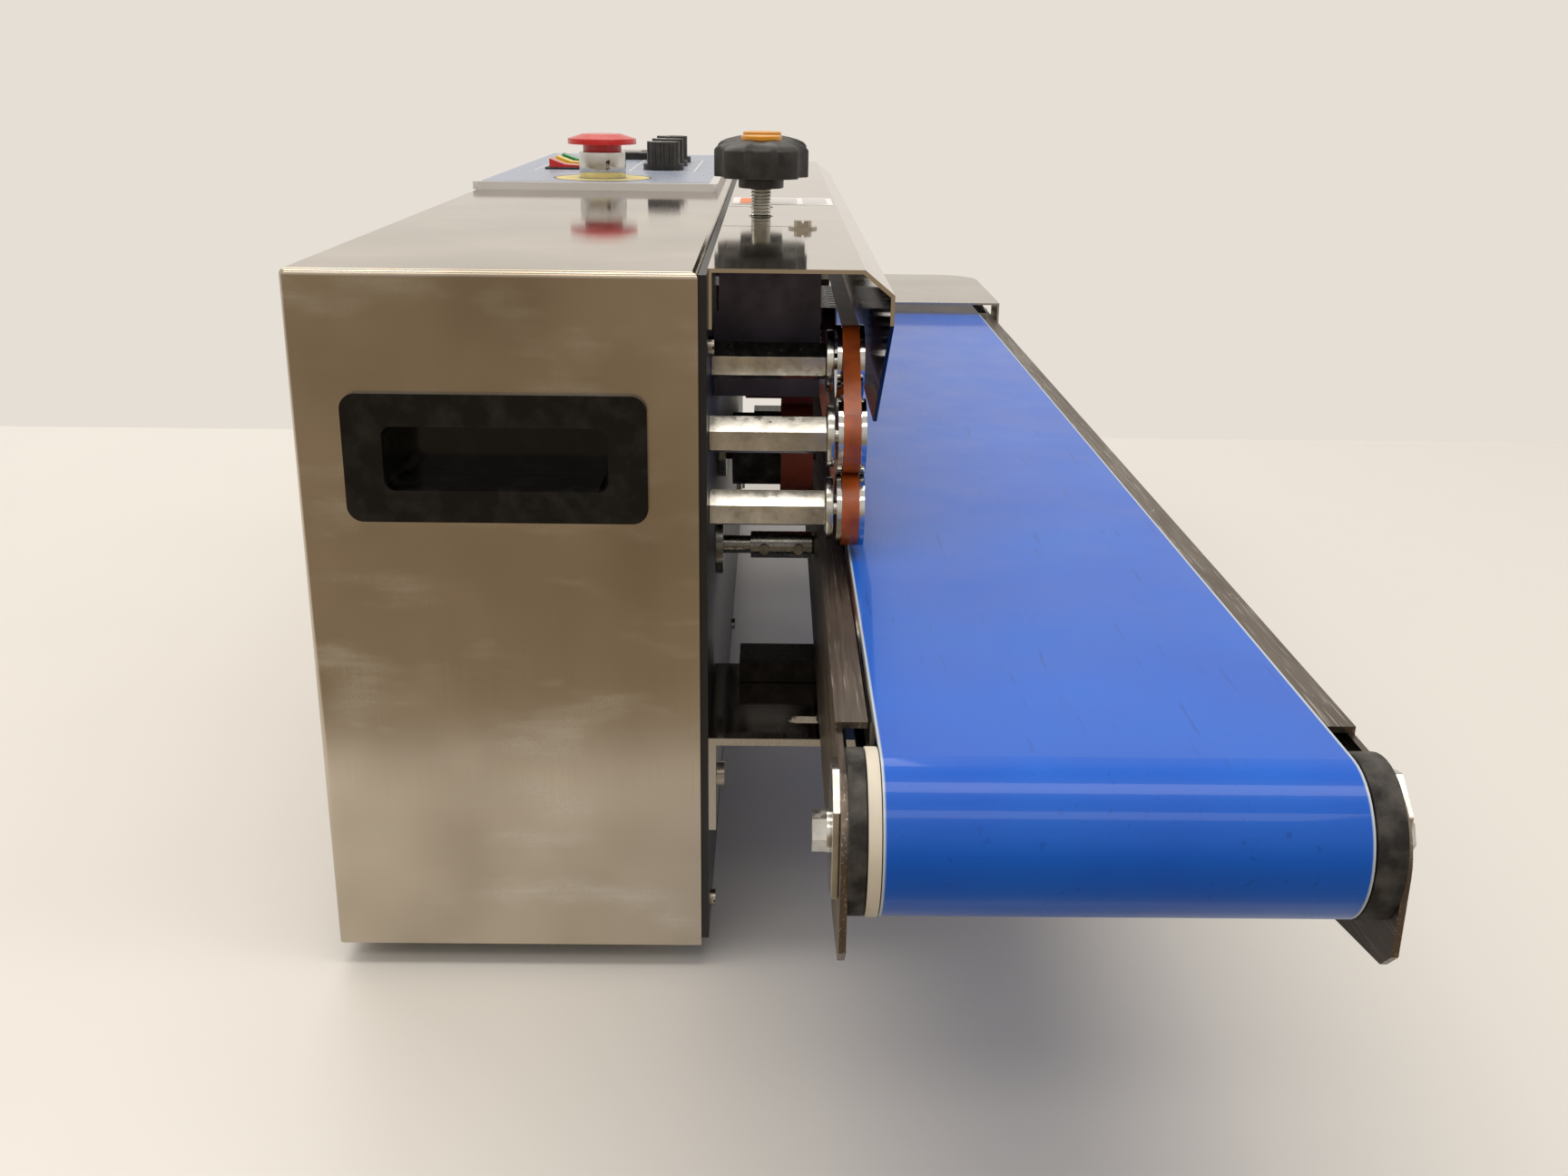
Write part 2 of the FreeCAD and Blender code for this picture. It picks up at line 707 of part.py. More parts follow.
# ---- press units
def press_yoke(screw_x, wheel_x, wheel_z, axle_front_y):
    """A guide block under the knob's screw, with an arm that carries the press wheel's axle."""
    top = case_top - guard_sheet - press_travel - 2.0
    z0 = return_axis_z - 6.0
    guide = block(screw_x - 10, screw_x + 10, press_screw_y - 10, press_screw_y + 10, z0, top)
    guide = guide.cut(along_z(screw_x, press_screw_y, press_screw_radius + shaft_gap, z0 + 4, top + 1))
    y = press_screw_y + yoke_arm_back
    arm = block(min(screw_x, wheel_x) - 6, screw_x + 6, y, y + 4, z0, z0 + 14)
    leg = block(wheel_x - 6, wheel_x + 6, y, y + 4, wheel_z - 6, z0 + 14)
    axle = along_y(wheel_x, wheel_z, 3.0, axle_front_y, y)
    return guide.fuse(arm).fuse(leg).fuse(axle).removeSplitter()


def press_yoke_left():
    return press_yoke(press_left_x, print_wheel_x, press_left_axis_z, print_wheel_y)


def press_wheel_left():
    """A printing counter wheel with a slimmer hub that reaches back to the yoke."""
    x, y = print_wheel_x, print_wheel_y + print_wheel_width
    wheel = along_y(x, press_left_axis_z, press_wheel_left_radius, print_wheel_y, y)
    hub = along_y(x, press_left_axis_z, press_hub_radius, y, press_screw_y + yoke_arm_back - running_gap)
    bore = along_y(x, press_left_axis_z, 3.0 + shaft_gap, print_wheel_y - 1, press_screw_y + yoke_arm_back)
    return wheel.fuse(hub).cut(bore).removeSplitter()


def press_yoke_right():
    return press_yoke(press_right_x, press_right_x, press_right_axis_z, band_centre_y - band_width / 2 - 1)


def press_wheel_right():
    y0, y1 = band_y()
    return along_y(press_right_x, press_right_axis_z, press_wheel_right_radius, y0, y1, 3.0 + shaft_gap)


def press_knob(x):
    """A star knob moulded on its threaded stud, which goes down through the guard into the yoke."""
    low = case_top + star_stand
    foot = return_axis_z - 1.5
    stud = along_z(x, press_screw_y, press_screw_radius, foot, low)
    hub = along_z(x, press_screw_y, star_hub_radius, low, low + star_hub_height)
    under = low + star_hub_height - 1.0
    top = under + star_height
    head = along_z(x, press_screw_y, star_radius, under, top)
    reach = star_radius + star_hollow_radius - star_hollow_depth
    for i in range(star_lobes):
        a = 2 * math.pi * (i + 0.5) / star_lobes
        hollow_x, hollow_y = x + reach * math.cos(a), press_screw_y + reach * math.sin(a)
        head = head.cut(along_z(hollow_x, hollow_y, star_hollow_radius, under - 1, top + 1))
    return stud.fuse(hub).fuse(head).removeSplitter()


# ---- conveyor
def fin_outline(y):
    """The side plate's outline: a long strip whose outfeed nose is rounded above and cut straight below."""
    nose, r = fin_nose_x, fin_corner
    top, low = fin_top_z, rail_bottom_z
    bend = r * (1 - math.sqrt(0.5))
    arc = Part.Arc(V(nose, y, top - r), V(nose + bend, y, top - bend), V(nose + r, y, top)).toShape()
    sweep = [V(nose + r, y, top), V(fin_start_x, y, top), V(fin_start_x, y, rail_top_z), V(rail_end_x, y, rail_top_z),
             V(rail_end_x, y, low), V(nose + 40, y, low), V(nose + 6, y, low + 6), V(nose, y, low + 12),
             V(nose, y, top - r)]
    lines = [Part.LineSegment(a, b).toShape() for a, b in zip(sweep, sweep[1:])]
    return Part.Face(Part.Wire([arc] + lines))


def rail(outer_y, way):
    """A channel that opens towards the belt. way is -1 when the belt is towards -Y."""
    plate = fin_outline(outer_y).extrude(V(0, way * rail_sheet, 0))
    reach = outer_y + way * rail_flange
    flange_end = far_roller_x - (fin_start_x - near_roller_x)
    top = block(fin_start_x, flange_end, outer_y, reach, rail_top_z - rail_sheet, rail_top_z)
    low = block(fin_start_x, flange_end, outer_y, reach, rail_bottom_z, rail_bottom_z + rail_sheet)
    shape = plate.fuse(top).fuse(low).removeSplitter()
    for x in (near_roller_x, far_roller_x, drive_roller_x):
        hole = drive_shaft_radius + shaft_gap if x == drive_roller_x else 3.0
        shape = shape.cut(along_y(x, roller_axis_z, hole, outer_y - 5, outer_y + 5))
    return shape


def slider_bed():
    top = roller_axis_z + belt_inner
    x0, x1 = near_roller_x + 26, far_roller_x - 26
    y0, y1 = rail_right_y + rail_flange + 0.5, rail_left_y - rail_flange - 0.5
    bed = block(x0, x1, y0, y1, top - 1.5, top)
    window = 12.0
    bed = bed.cut(block(drive_roller_x - window, drive_roller_x + window, y0 + 3, y1 - 3, top - 5, top + 1))
    for y in (y0, y1 - 1.5):
        bed = bed.fuse(block(x0, drive_roller_x - 25, y, y + 1.5, top - 14, top))
        bed = bed.fuse(block(drive_roller_x + 25, x1, y, y + 1.5, top - 14, top))
    return bed.removeSplitter()


def conveyor_belt():
    centres = [(near_roller_x, roller_axis_z), (far_roller_x, roller_axis_z)]
    return loop_band(centres, belt_inner, belt_outer, belt_edge_y - belt_width, belt_edge_y)


def end_roller(x):
    """A tube roller with a solid hub at each end, bored for its axle bolts."""
    y0, y1 = belt_edge_y - belt_width + 1.0, belt_edge_y - 1.0
    tube = along_y(x, roller_axis_z, roller_radius, y0, y1, roller_radius - 2.5)
    for y in (y0, y1 - 12.0):
        tube = tube.fuse(along_y(x, roller_axis_z, roller_radius - 1, y, y + 12.0, 3.0 + shaft_gap))
    return tube.removeSplitter()


def cap_span():
    return belt_edge_y + running_gap, belt_edge_y + running_gap + cap_width


def near_roller_cap():
    """A flange on the head's side of the outfeed roller, which keeps the belt from creeping that way."""
    y0, y1 = cap_span()
    flange = along_y(near_roller_x, roller_axis_z, cap_radius, y0, y1)
    hub = along_y(near_roller_x, roller_axis_z, roller_radius - 1, y0, y0 - cap_hub)
    bore = along_y(near_roller_x, roller_axis_z, 3.0 + shaft_gap, y0 - 5, y1 + 5)
    return flange.fuse(hub).cut(bore).removeSplitter()


def guide_discs():
    """Rubber discs between the rails and the rollers, which keep bags out of the gap."""
    solids = []
    left = (cap_span()[1] + running_gap, rail_left_y - rail_sheet)
    right = (rail_right_y + rail_sheet, belt_edge_y - belt_width - 2 * running_gap)
    for x in (near_roller_x, far_roller_x):
        for y0, y1 in (left, right):
            solids.append(along_y(x, roller_axis_z, disc_radius, y0, y1, 3.0))
    return group(solids)


def tension_plates():
    """Plates outside both rails, at both ends, that hold the axle bolts and set the belt's tension."""
    solids = []
    for x, way in ((near_roller_x, 1), (far_roller_x, -1)):
        for y, side in ((rail_left_y, 1), (rail_right_y, -1)):
            outline = [(-13, -14), (4, -20), (14, -16), (14, 16), (-2, 20), (-13, 12)]
            points = [(x + way * px, y, roller_axis_z + pz) for px, pz in outline]
            plate = prism(points, (0, side * 2.0, 0))
            solids.append(plate.cut(along_y(x, roller_axis_z, 3.0, y - 5, y + 5)))
    return group(solids)


def axle_bolts():
    """Hexagon bolts that come in from both sides and carry the end rollers."""
    solids = []
    for x in (near_roller_x, far_roller_x):
        for y, side in ((rail_left_y, 1), (rail_right_y, -1)):
            face = y + side * 2.0
            washer = along_y(x, roller_axis_z, 6.0, face, face + side * 1.2)
            head = hexagon_along_y(x, roller_axis_z, 10.0, face + side * 1.2, face + side * 5.2)
            shank = along_y(x, roller_axis_z, 3.0, face, face - side * 26.0)
            solids.append(washer.fuse(head).fuse(shank).removeSplitter())
    return group(solids)


def end_plate():
    """A folded shelf over the infeed end, from which bags slide down on to the belt."""
    s = 1.5
    x0, x1 = end_plate_start_x, end_plate_start_x + end_plate_length
    top = belt_top_z + end_plate_rise
    y0, y1 = rail_right_y - 2.0 - s, rail_left_y + 2.0 + s
    shelf = block(x0, x1, y0, y1, top - s, top)
    shelf = rounded(shelf, end_plate_corner, lambda m, w: abs(w.z) > 0.9 and m.x > x1 - 1)
    for y in (y0, y1 - s):
        wing = block(x0, far_roller_x - 22, y, y + s, rail_bottom_z + 14, top)
        shelf = shelf.fuse(wing)
    for y, far in ((rail_right_y, rail_right_y - 2.0), (rail_left_y, rail_left_y + 2.0)):
        shelf = shelf.fuse(block(x0 + 6, x0 + 20, y, far, rail_bottom_z + 24, rail_bottom_z + 38))
    return shelf.removeSplitter()


def cross_bars():
    solids = []
    for x in (near_bracket_x + bracket_length + 2, far_bracket_x + bracket_length + 2):
        solids.append(block(x, x + bar_width, -14.0, rail_right_y + 4, rail_bottom_z - bar_height, rail_bottom_z))
    return group(solids)


def clamp_places():
    return [(start + 21.0, rail_left_y - rail_flange / 2 - 1.0) for start in (near_bracket_x, far_bracket_x)]


def clamp_bolts():
    """Bolts and spacers that hold the rail on the brackets, through the brackets' slots."""
    solids = []
    plate_top_z = rail_bottom_z - bar_height - running_gap
    plate_low = plate_top_z - bracket_sheet
    for x, y in clamp_places():
        bolt = hexagon_along_z(x, y, 10.0, plate_low - running_gap - 4.0, plate_low - running_gap)
        solids.append(bolt.fuse(along_z(x, y, 2.9, plate_low - running_gap, plate_top_z + running_gap)))
        solids.append(along_z(x, y, 6.0, plate_top_z + running_gap, rail_bottom_z))
    return group(solids)


def support_brackets():
    """Angles on the front panel. Their slots let the conveyor move away from the sealing head."""
    solids = []
    top = rail_bottom_z - bar_height - running_gap
    for (x, y), start in zip(clamp_places(), (near_bracket_x, far_bracket_x)):
        shelf = block(start + 2, start + bracket_length + 24, panel_front, -bracket_reach, top - bracket_sheet, top)
        half = slot_width / 2
        low_y = y - conveyor_travel - 4.0
        slot = block(x - half, x + half, low_y, y + 14.0, top - 10, top + 10)
        for end_y in (low_y, y + 14.0):
            slot = slot.fuse(along_z(x, end_y, half, top - 10, top + 10))
        leg = block(start + 2, start + bracket_length + 24, panel_front, panel_front - bracket_sheet, top - 40, top)
        for screw_x in (start + 16, start + bracket_length + 8):
            leg = leg.fuse(along_y(screw_x, top - 22, 5.0, panel_front - bracket_sheet, panel_front - bracket_sheet - 3))
        solids.append(shelf.cut(slot).fuse(leg).removeSplitter())
    return group(solids)


def drive_roller():
    y0, y1 = belt_edge_y - belt_width + 3.0, belt_edge_y - 3.0
    body = along_y(drive_roller_x, roller_axis_z, roller_radius, y0, y1)
    core = along_y(drive_roller_x, roller_axis_z, roller_radius - 4, y0 + 6, y1 - 6, drive_shaft_radius)
    rod = along_y(drive_roller_x, roller_axis_z, drive_shaft_radius, rail_right_y - 3, rail_left_y + 1.0)
    return body.cut(core).fuse(rod).removeSplitter()


def drive_coupling():
    """A tube fixed on the roller's shaft by set screws. It slides along the casing's shaft as the conveyor moves."""
    start = rail_left_y + 1.0
    tube = along_y(drive_roller_x, roller_axis_z, coupling_radius, start, start + 27.0, drive_shaft_radius + shaft_gap)
    for y in (start + 6.0, start + 21.0):
        screw = Part.makeCylinder(2.2, 4.0, V(drive_roller_x - coupling_radius - 2.0, y, roller_axis_z), V(1, 0, 0))
        tube = tube.fuse(screw.cut(along_y(drive_roller_x, roller_axis_z, drive_shaft_radius + shaft_gap, y - 5, y + 5)))
    return tube.removeSplitter()


def all_pieces():
    return {
        "base_plate": base_plate(), "casing_cover": casing_cover(), "front_panel": front_panel(),
        "flush_handles": flush_handles(), "control_plate": control_plate(), "estop_collar": estop_collar(),
        "estop_plunger": estop_plunger(), "estop_head": estop_head(), "switch_bezels": switch_bezels(),
        "rocker_red": rocker(0), "rocker_yellow": rocker(1), "rocker_green": rocker(2),
        "speed_dial": dial(0), "print_heat_dial": dial(1), "print_spacing_dial": dial(2),
        "temperature_controller": temperature_controller(), "guard": guard(), "casing_screws": casing_screws(),
        "rubber_feet": rubber_feet(), "power_inlet": power_inlet(), "gear_motor": gear_motor(),
        "power_board": power_board(), "hex_posts": hex_posts(), "bulkhead": bulkhead(),
        "upper_nip_pulley": idler_pulley(0), "lower_nip_pulley": idler_pulley(1),
        "upper_return_pulley": idler_pulley(2), "upper_far_pulley": idler_pulley(3),
        "lower_drive_wheel": lower_drive_wheel(), "upper_drive_wheel": upper_drive_wheel(),
        "shaft_bearings": shaft_bearings(),
        "upper_band": upper_band(), "lower_band": lower_band(),
        "heating_blocks": block_pair(heater_start_x, heater_length, 0),
        "cooling_blocks": block_pair(cooler_start_x, cooler_length, 9),
        "print_wheel": print_wheel(), "print_drum": print_drum(),
        "conveyor_drive_shaft": conveyor_drive_shaft(), "drive_chain": drive_chain(),
        "press_yoke_left": press_yoke_left(), "press_wheel_left": press_wheel_left(),
        "press_knob_left": press_knob(press_left_x), "press_yoke_right": press_yoke_right(),
        "press_wheel_right": press_wheel_right(), "press_knob_right": press_knob(press_right_x),
        "support_brackets": support_brackets(), "left_rail": rail(rail_left_y, -1),
        "right_rail": rail(rail_right_y, 1), "slider_bed": slider_bed(), "conveyor_belt": conveyor_belt(),
        "near_roller": end_roller(near_roller_x), "far_roller": end_roller(far_roller_x),
        "near_roller_cap": near_roller_cap(), "guide_discs": guide_discs(), "tension_plates": tension_plates(),
        "axle_bolts": axle_bolts(), "end_plate": end_plate(), "conveyor_bars": group(
            cross_bars().Solids + clamp_bolts().Solids),
        "drive_roller": drive_roller(), "drive_coupling": drive_coupling(),
    }


pieces = all_pieces()
whole = Part.makeCompound(list(pieces.values())).BoundBox
origin = V((whole.XMin + whole.XMax) / 2, (whole.YMin + whole.YMax) / 2, 0)

if __name__ == "__main__":
    os.makedirs("parts", exist_ok=True)
    for name, shape in pieces.items():
        shape.translate(origin * -1)
        shape.exportStep(f"parts/{name}.step")
    print(len(pieces), "pieces; size", whole.XLength, whole.YLength, whole.ZMax, "origin", origin)
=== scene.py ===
# %% [markdown]
# # A continuous band sealer
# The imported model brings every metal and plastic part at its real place, in metres, with +Z up and the
# conveyor on the -Y side. This script gives each part the finish it has on a real machine, adds what is
# printed, moulded or threaded too finely for the model, and lights it all.

# %% Load the frame
import math

import bpy
from mathutils import Matrix, Vector


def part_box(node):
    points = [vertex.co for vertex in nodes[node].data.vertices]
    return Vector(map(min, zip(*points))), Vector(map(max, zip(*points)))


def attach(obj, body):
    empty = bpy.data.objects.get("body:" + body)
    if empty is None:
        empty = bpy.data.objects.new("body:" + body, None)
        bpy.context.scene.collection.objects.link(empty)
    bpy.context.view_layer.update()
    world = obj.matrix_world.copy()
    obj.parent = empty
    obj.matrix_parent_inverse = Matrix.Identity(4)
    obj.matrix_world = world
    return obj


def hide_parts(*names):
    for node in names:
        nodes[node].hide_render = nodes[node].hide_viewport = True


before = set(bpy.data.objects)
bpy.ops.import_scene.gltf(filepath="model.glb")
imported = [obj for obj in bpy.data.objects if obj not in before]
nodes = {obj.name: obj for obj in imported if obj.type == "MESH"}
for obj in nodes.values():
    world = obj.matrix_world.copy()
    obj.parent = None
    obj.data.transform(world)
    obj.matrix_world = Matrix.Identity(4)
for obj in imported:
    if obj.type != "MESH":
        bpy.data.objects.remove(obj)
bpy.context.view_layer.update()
MM = 0.001
print(len(nodes), "parts from the frame")

# %% [markdown]
# ## The camera
# The machine is seen from its outfeed end, a little above the belt, looking down along it. A camera looks
# along its own -Z, so its three axes are worked out from a pitch, a yaw and a slight roll, and put
# into one matrix.

# %% Place the camera
def camera_matrix(place, pitch, yaw, roll):
    """A camera at place looking along +X, turned by pitch below the horizon, yaw and roll in degrees."""
    p, y, r = (math.radians(a) for a in (pitch, yaw, roll))
    ahead = Vector((math.cos(p) * math.cos(y), math.cos(p) * math.sin(y), -math.sin(p)))
    side = ahead.cross(Vector((0, 0, 1))).normalized()
    down = ahead.cross(side)
    right = math.cos(r) * side + math.sin(r) * down
    up = math.sin(r) * side - math.cos(r) * down
    turned = Matrix((right, up, -ahead)).transposed().to_4x4()
    return Matrix.Translation(place) @ turned


casing_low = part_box("casing_cover")[0]
eye = Vector((casing_low.x - 543.5 * MM, casing_low.y - 26.3 * MM, 349.8 * MM))
camera = bpy.data.objects.new("camera", bpy.data.cameras.new("camera"))
bpy.context.scene.collection.objects.link(camera)
camera.matrix_world = camera_matrix(eye, 18.785, -0.593, -0.746)
camera.data.sensor_width = 36.0
camera.data.lens = 34.94
camera.data.clip_start = 0.01
bpy.context.scene.camera = camera
print("camera at", [round(v, 3) for v in camera.location])

# %% [markdown]
# ## Two small helpers for materials
# Finishes are quoted as the hex colours a paint chart gives, and the renderer wants linear light, so one
# function turns one into the other. The other adds a node, sets it and links it in one call.

# %% Colour and node helpers
def rgb(hex_text):
    """A hex colour as linear red, green, blue and an alpha of one."""
    parts = [int(hex_text[i:i + 2], 16) / 255 for i in (0, 2, 4)]
    linear = [v / 12.92 if v <= 0.04045 else ((v + 0.055) / 1.055) ** 2.4 for v in parts]
    return (*linear, 1.0)


def add(material, kind, inputs=None, **settings):
    """Adds one node. inputs gives a socket a value, or another node's output to follow."""
    node = material.node_tree.nodes.new("ShaderNode" + kind)
    for name, value in settings.items():
        setattr(node, name, value)
    for name, value in (inputs or {}).items():
        if isinstance(value, bpy.types.NodeSocket):
            material.node_tree.links.new(value, node.inputs[name])
        else:
            node.inputs[name].default_value = value
    return node


def shader(name, colour, metallic, roughness, **sockets):
    """A new material and its main shader, with the values that are the same all over."""
    material = bpy.data.materials.new(name)
    material.use_nodes = True
    main = material.node_tree.nodes["Principled BSDF"]
    main.inputs["Base Color"].default_value = rgb(colour)
    main.inputs["Metallic"].default_value = metallic
    main.inputs["Roughness"].default_value = roughness
    for name, value in sockets.items():
        main.inputs[name.replace("_", " ")].default_value = value
    return material, main


def join(material, source, target):
    material.node_tree.links.new(source, target)


# %% [markdown]
# ## Patterns
# Nearly every finish here varies in the same way: soft patches of a certain size run between two values.
# A noise gives the patches, and a map range sets the two values. The size is in millimetres,
# and a stretch makes the patches long in one direction, as brushing does.

# %% Patches and bump
def patches(material, size, low, high, stretch=(1, 1, 1), detail=2.0, sharp=0.5, bias=0.5):
    """Values between low and high in patches of that size in mm, each axis stretched by its share."""
    place = add(material, "TexCoord").outputs["Object"]
    scale = [1 / (size * MM * s) for s in stretch]
    spread = add(material, "Mapping", {"Vector": place, "Scale": scale})
    noise = add(material, "TexNoise", {"Vector": spread.outputs["Vector"], "Scale": 1.0, "Detail": detail})
    half = 0.5 * (1 - sharp)
    limits = {"From Min": bias - half, "From Max": bias + half, "To Min": low, "To Max": high}
    return add(material, "MapRange", {"Value": noise.outputs["Fac"], **limits}).outputs["Result"]


def blend(material, share, first, second):
    """Goes from the first colour to the second as share goes from 0 to 1."""
    mix = add(material, "Mix", data_type="RGBA")
    for socket, value in ((mix.inputs[0], share), (mix.inputs[6], first), (mix.inputs[7], second)):
        if isinstance(value, bpy.types.NodeSocket):
            join(material, value, socket)
        else:
            socket.default_value = value
    return mix.outputs[2]


def relief(material, main, height, depth):
    """Turns a pattern of 0 to 1 into a bump of that depth in mm."""
    bump = add(material, "Bump", {"Height": height, "Distance": depth * MM, "Strength": 1.0})
    join(material, bump.outputs["Normal"], main.inputs["Normal"])


# %% [markdown]
# ## Brushed stainless steel
# The casing is 1.5 mm stainless sheet, type 304, ground with a fine belt. The scratches all run one way:
# up and down on the two ends, and along the machine on the top and back. They give the eye a satin
# mirror that smears what it reflects. Hands and cleaning cloths leave dull, paler smudges.

# %% Brushed stainless sheet
def brush_marks(material, low, high):
    """Fine scratches: along Z where the sheet faces the machine's ends, along X everywhere else."""
    upright = patches(material, 0.35, low, high, stretch=(1, 1, 160), detail=3, sharp=0.2)
    lengthways = patches(material, 0.35, low, high, stretch=(220, 1, 1), detail=3, sharp=0.2)
    facing = add(material, "SeparateXYZ", {"Vector": add(material, "NewGeometry").outputs["Normal"]})
    turned = add(material, "Math", {0: facing.outputs["X"]}, operation="ABSOLUTE")
    ends = add(material, "Math", {0: turned.outputs["Value"], 1: 0.7}, operation="GREATER_THAN")
    mix = add(material, "Mix", {0: ends.outputs["Value"], 2: lengthways, 3: upright}, data_type="FLOAT")
    return mix.outputs[0]


def wiped_film(material, amount):
    """Pale wipe marks: soft patches broken into strokes."""
    patch = patches(material, 34, 0, 1, stretch=(1, 1.7, 0.6), detail=4, sharp=0.8, bias=0.63)
    stroke = patches(material, 3.0, 0.1, 1, stretch=(9, 12, 1), detail=5, sharp=0.3)
    both = add(material, "Math", {0: patch, 1: stroke}, operation="MULTIPLY").outputs[0]
    return add(material, "Math", {0: both, 1: amount}, operation="MULTIPLY").outputs[0]


def brushed_stainless(name, colour, smooth, rough, smudge):
    """Ground stainless sheet. smudge is how much paler and duller the wiped areas are."""
    material, main = shader(name, colour, 1.0, rough)
    facing = add(material, "SeparateXYZ", {"Vector": add(material, "NewGeometry").outputs["Normal"]})
    upward = add(material, "Math", {0: facing.outputs["Z"], 1: 0.8}, operation="GREATER_THAN").outputs[0]
    share = wiped_film(material, smudge)
    share = add(material, "Mix", {0: upward, 2: share, 3: 0.0}, data_type="FLOAT").outputs[0]
    worn = blend(material, patches(material, 70, 0, 1, detail=2), rgb(colour), rgb("A79C8C"))
    join(material, blend(material, share, worn, rgb("DAD8D2")), main.inputs["Base Color"])
    dull = brush_marks(material, smooth, rough)
    more = add(material, "Math", {0: share, 1: 0.35, 2: dull}, operation="MULTIPLY_ADD").outputs[0]
    glossy = patches(material, 50, 0.05, 0.1, detail=2)
    join(material, add(material, "Mix", {0: upward, 2: more, 3: glossy}, data_type="FLOAT").outputs[0],
         main.inputs["Roughness"])
    relief(material, main, brush_marks(material, 0, 1), 0.0025)
    return material


casing_steel = brushed_stainless("brushed stainless, casing", "C9BFB0", 0.17, 0.26, 0.6)
plain_steel = brushed_stainless("brushed stainless, fittings", "B9B5AD", 0.2, 0.34, 0.3)
print("brushed stainless made")

# %% [markdown]
# ## Polished guard sheet with painted shade inside
# The guard's outside is polished like a mirror. Where it faces down or to the back, under the guard,
# it is painted near black as painted shade, so the colour changes with the way the surface faces.

# %% Guard sheet
def guard_sheet():
    """Polished sheet. Where it faces down or to the back it is painted near black as painted shade."""
    material, main = shader("polished stainless, guard", "D8D2C9", 1.0, 0.08)
    facing = add(material, "SeparateXYZ", {"Vector": add(material, "NewGeometry").outputs["Normal"]})
    back = add(material, "Math", {0: facing.outputs["Y"], 1: facing.outputs["Z"]}, operation="SUBTRACT")
    # painted shade: faces that look down or to the back, under the guard, are given a near-black colour
    inside = add(material, "Math", {0: back.outputs["Value"], 1: 0.5}, operation="GREATER_THAN").outputs[0]
    bright = blend(material, patches(material, 30, 0, 0.5, detail=4), rgb("D8D2C9"), rgb("BDB7AE"))
    painted_shade_colour = blend(material, patches(material, 12, 0, 1, detail=5), rgb("1A181B"), rgb("38343A"))
    join(material, blend(material, inside, bright, painted_shade_colour), main.inputs["Base Color"])
    join(material, patches(material, 0.4, 0.04, 0.1, stretch=(160, 1, 1), detail=3), main.inputs["Roughness"])
    return material


guard_steel = guard_sheet()
print("guard sheet made")

# %% [markdown]
# ## Coated, plated and dark metals
# The front panel has a black powder coat, which dries with a fine orange-peel surface. The posts are
# zinc plated bar: bright on the tops, a little cloudy. Pulleys are chromed. The rails are sheet
# that bags and hands have worn brown and scratched, with white specks of dust in the grain.

# %% Coats and plating
def orange_peel(name, colour, roughness, size):
    """Powder coat: a soft sheen over tiny rounded bumps."""
    material, main = shader(name, colour, 0.0, roughness)
    relief(material, main, patches(material, size, 0, 1, detail=1, sharp=0.3), 0.05)
    dusty = patches(material, 25, 0, 0.06, detail=5, sharp=0.6)
    join(material, blend(material, dusty, rgb(colour), rgb("5E5A58")), main.inputs["Base Color"])
    return material


def plated(name, colour, dull, smooth, rough, size=6):
    """Plating or turned metal with cloudy patches of that size in mm."""
    material, main = shader(name, colour, 1.0, rough)
    cloud = patches(material, size, 0, 1, detail=5, sharp=0.5)
    join(material, blend(material, cloud, rgb(colour), rgb(dull)), main.inputs["Base Color"])
    join(material, patches(material, size / 3, smooth, rough, detail=3), main.inputs["Roughness"])
    relief(material, main, patches(material, 0.5, 0, 1, detail=2), 0.006)
    return material


powder_coat = orange_peel("black powder coat", "0B0B0C", 0.42, 0.9)
zinc = plated("bright zinc plate", "DCDCD8", "A5A49D", 0.1, 0.3, size=9)
chrome = plated("chrome plate", "D6D6D4", "BDBDBA", 0.04, 0.12)
turned_steel = plated("turned steel", "9A9A96", "6E6C68", 0.2, 0.36)
dark_steel = plated("blackened steel", "1C1B1B", "2E2C2A", 0.28, 0.5)
grey_steel = plated("bulkhead steel, grey", "5F5A66", "45424C", 0.3, 0.5, size=18)
aluminium = plated("turned aluminium", "C4C5C6", "A2A3A4", 0.22, 0.4)
bronze = plated("bronze block", "A07A48", "6E5233", 0.28, 0.45)


def worn_rail():
    """Dulled sheet steel: brown film, scratches along the machine, white specks."""
    material, main = shader("worn stainless, rails", "6F675F", 1.0, 0.4)
    film = patches(material, 20, 0, 1, stretch=(4, 1, 1), detail=6)
    base = blend(material, film, rgb("857B71"), rgb("4E4640"))
    scratch = patches(material, 0.7, 0, 0.8, stretch=(40, 1, 1), detail=2, sharp=0.85, bias=0.68)
    scratched = blend(material, scratch, base, rgb("C9C4BC"))
    speck = patches(material, 1.6, 0, 1, detail=3, sharp=0.94, bias=0.74)
    join(material, blend(material, speck, scratched, rgb("DAD6CE")), main.inputs["Base Color"])
    dull = add(material, "Math", {0: speck, 1: -0.6, 2: 1.0}, operation="MULTIPLY_ADD").outputs["Value"]
    join(material, dull, main.inputs["Metallic"])
    join(material, patches(material, 1.2, 0.28, 0.52, stretch=(30, 1, 1)), main.inputs["Roughness"])
    relief(material, main, patches(material, 0.6, 0, 1, stretch=(30, 1, 1)), 0.02)
    return material


rail_steel = worn_rail()
print("plated and dark metals made")

# %% [markdown]
# ## Plastics and rubber
# Moulded plastic is never quite even: glossy faces carry a faint waviness from the mould and dust,
# matte ones a spark-eroded grain about half a millimetre across.

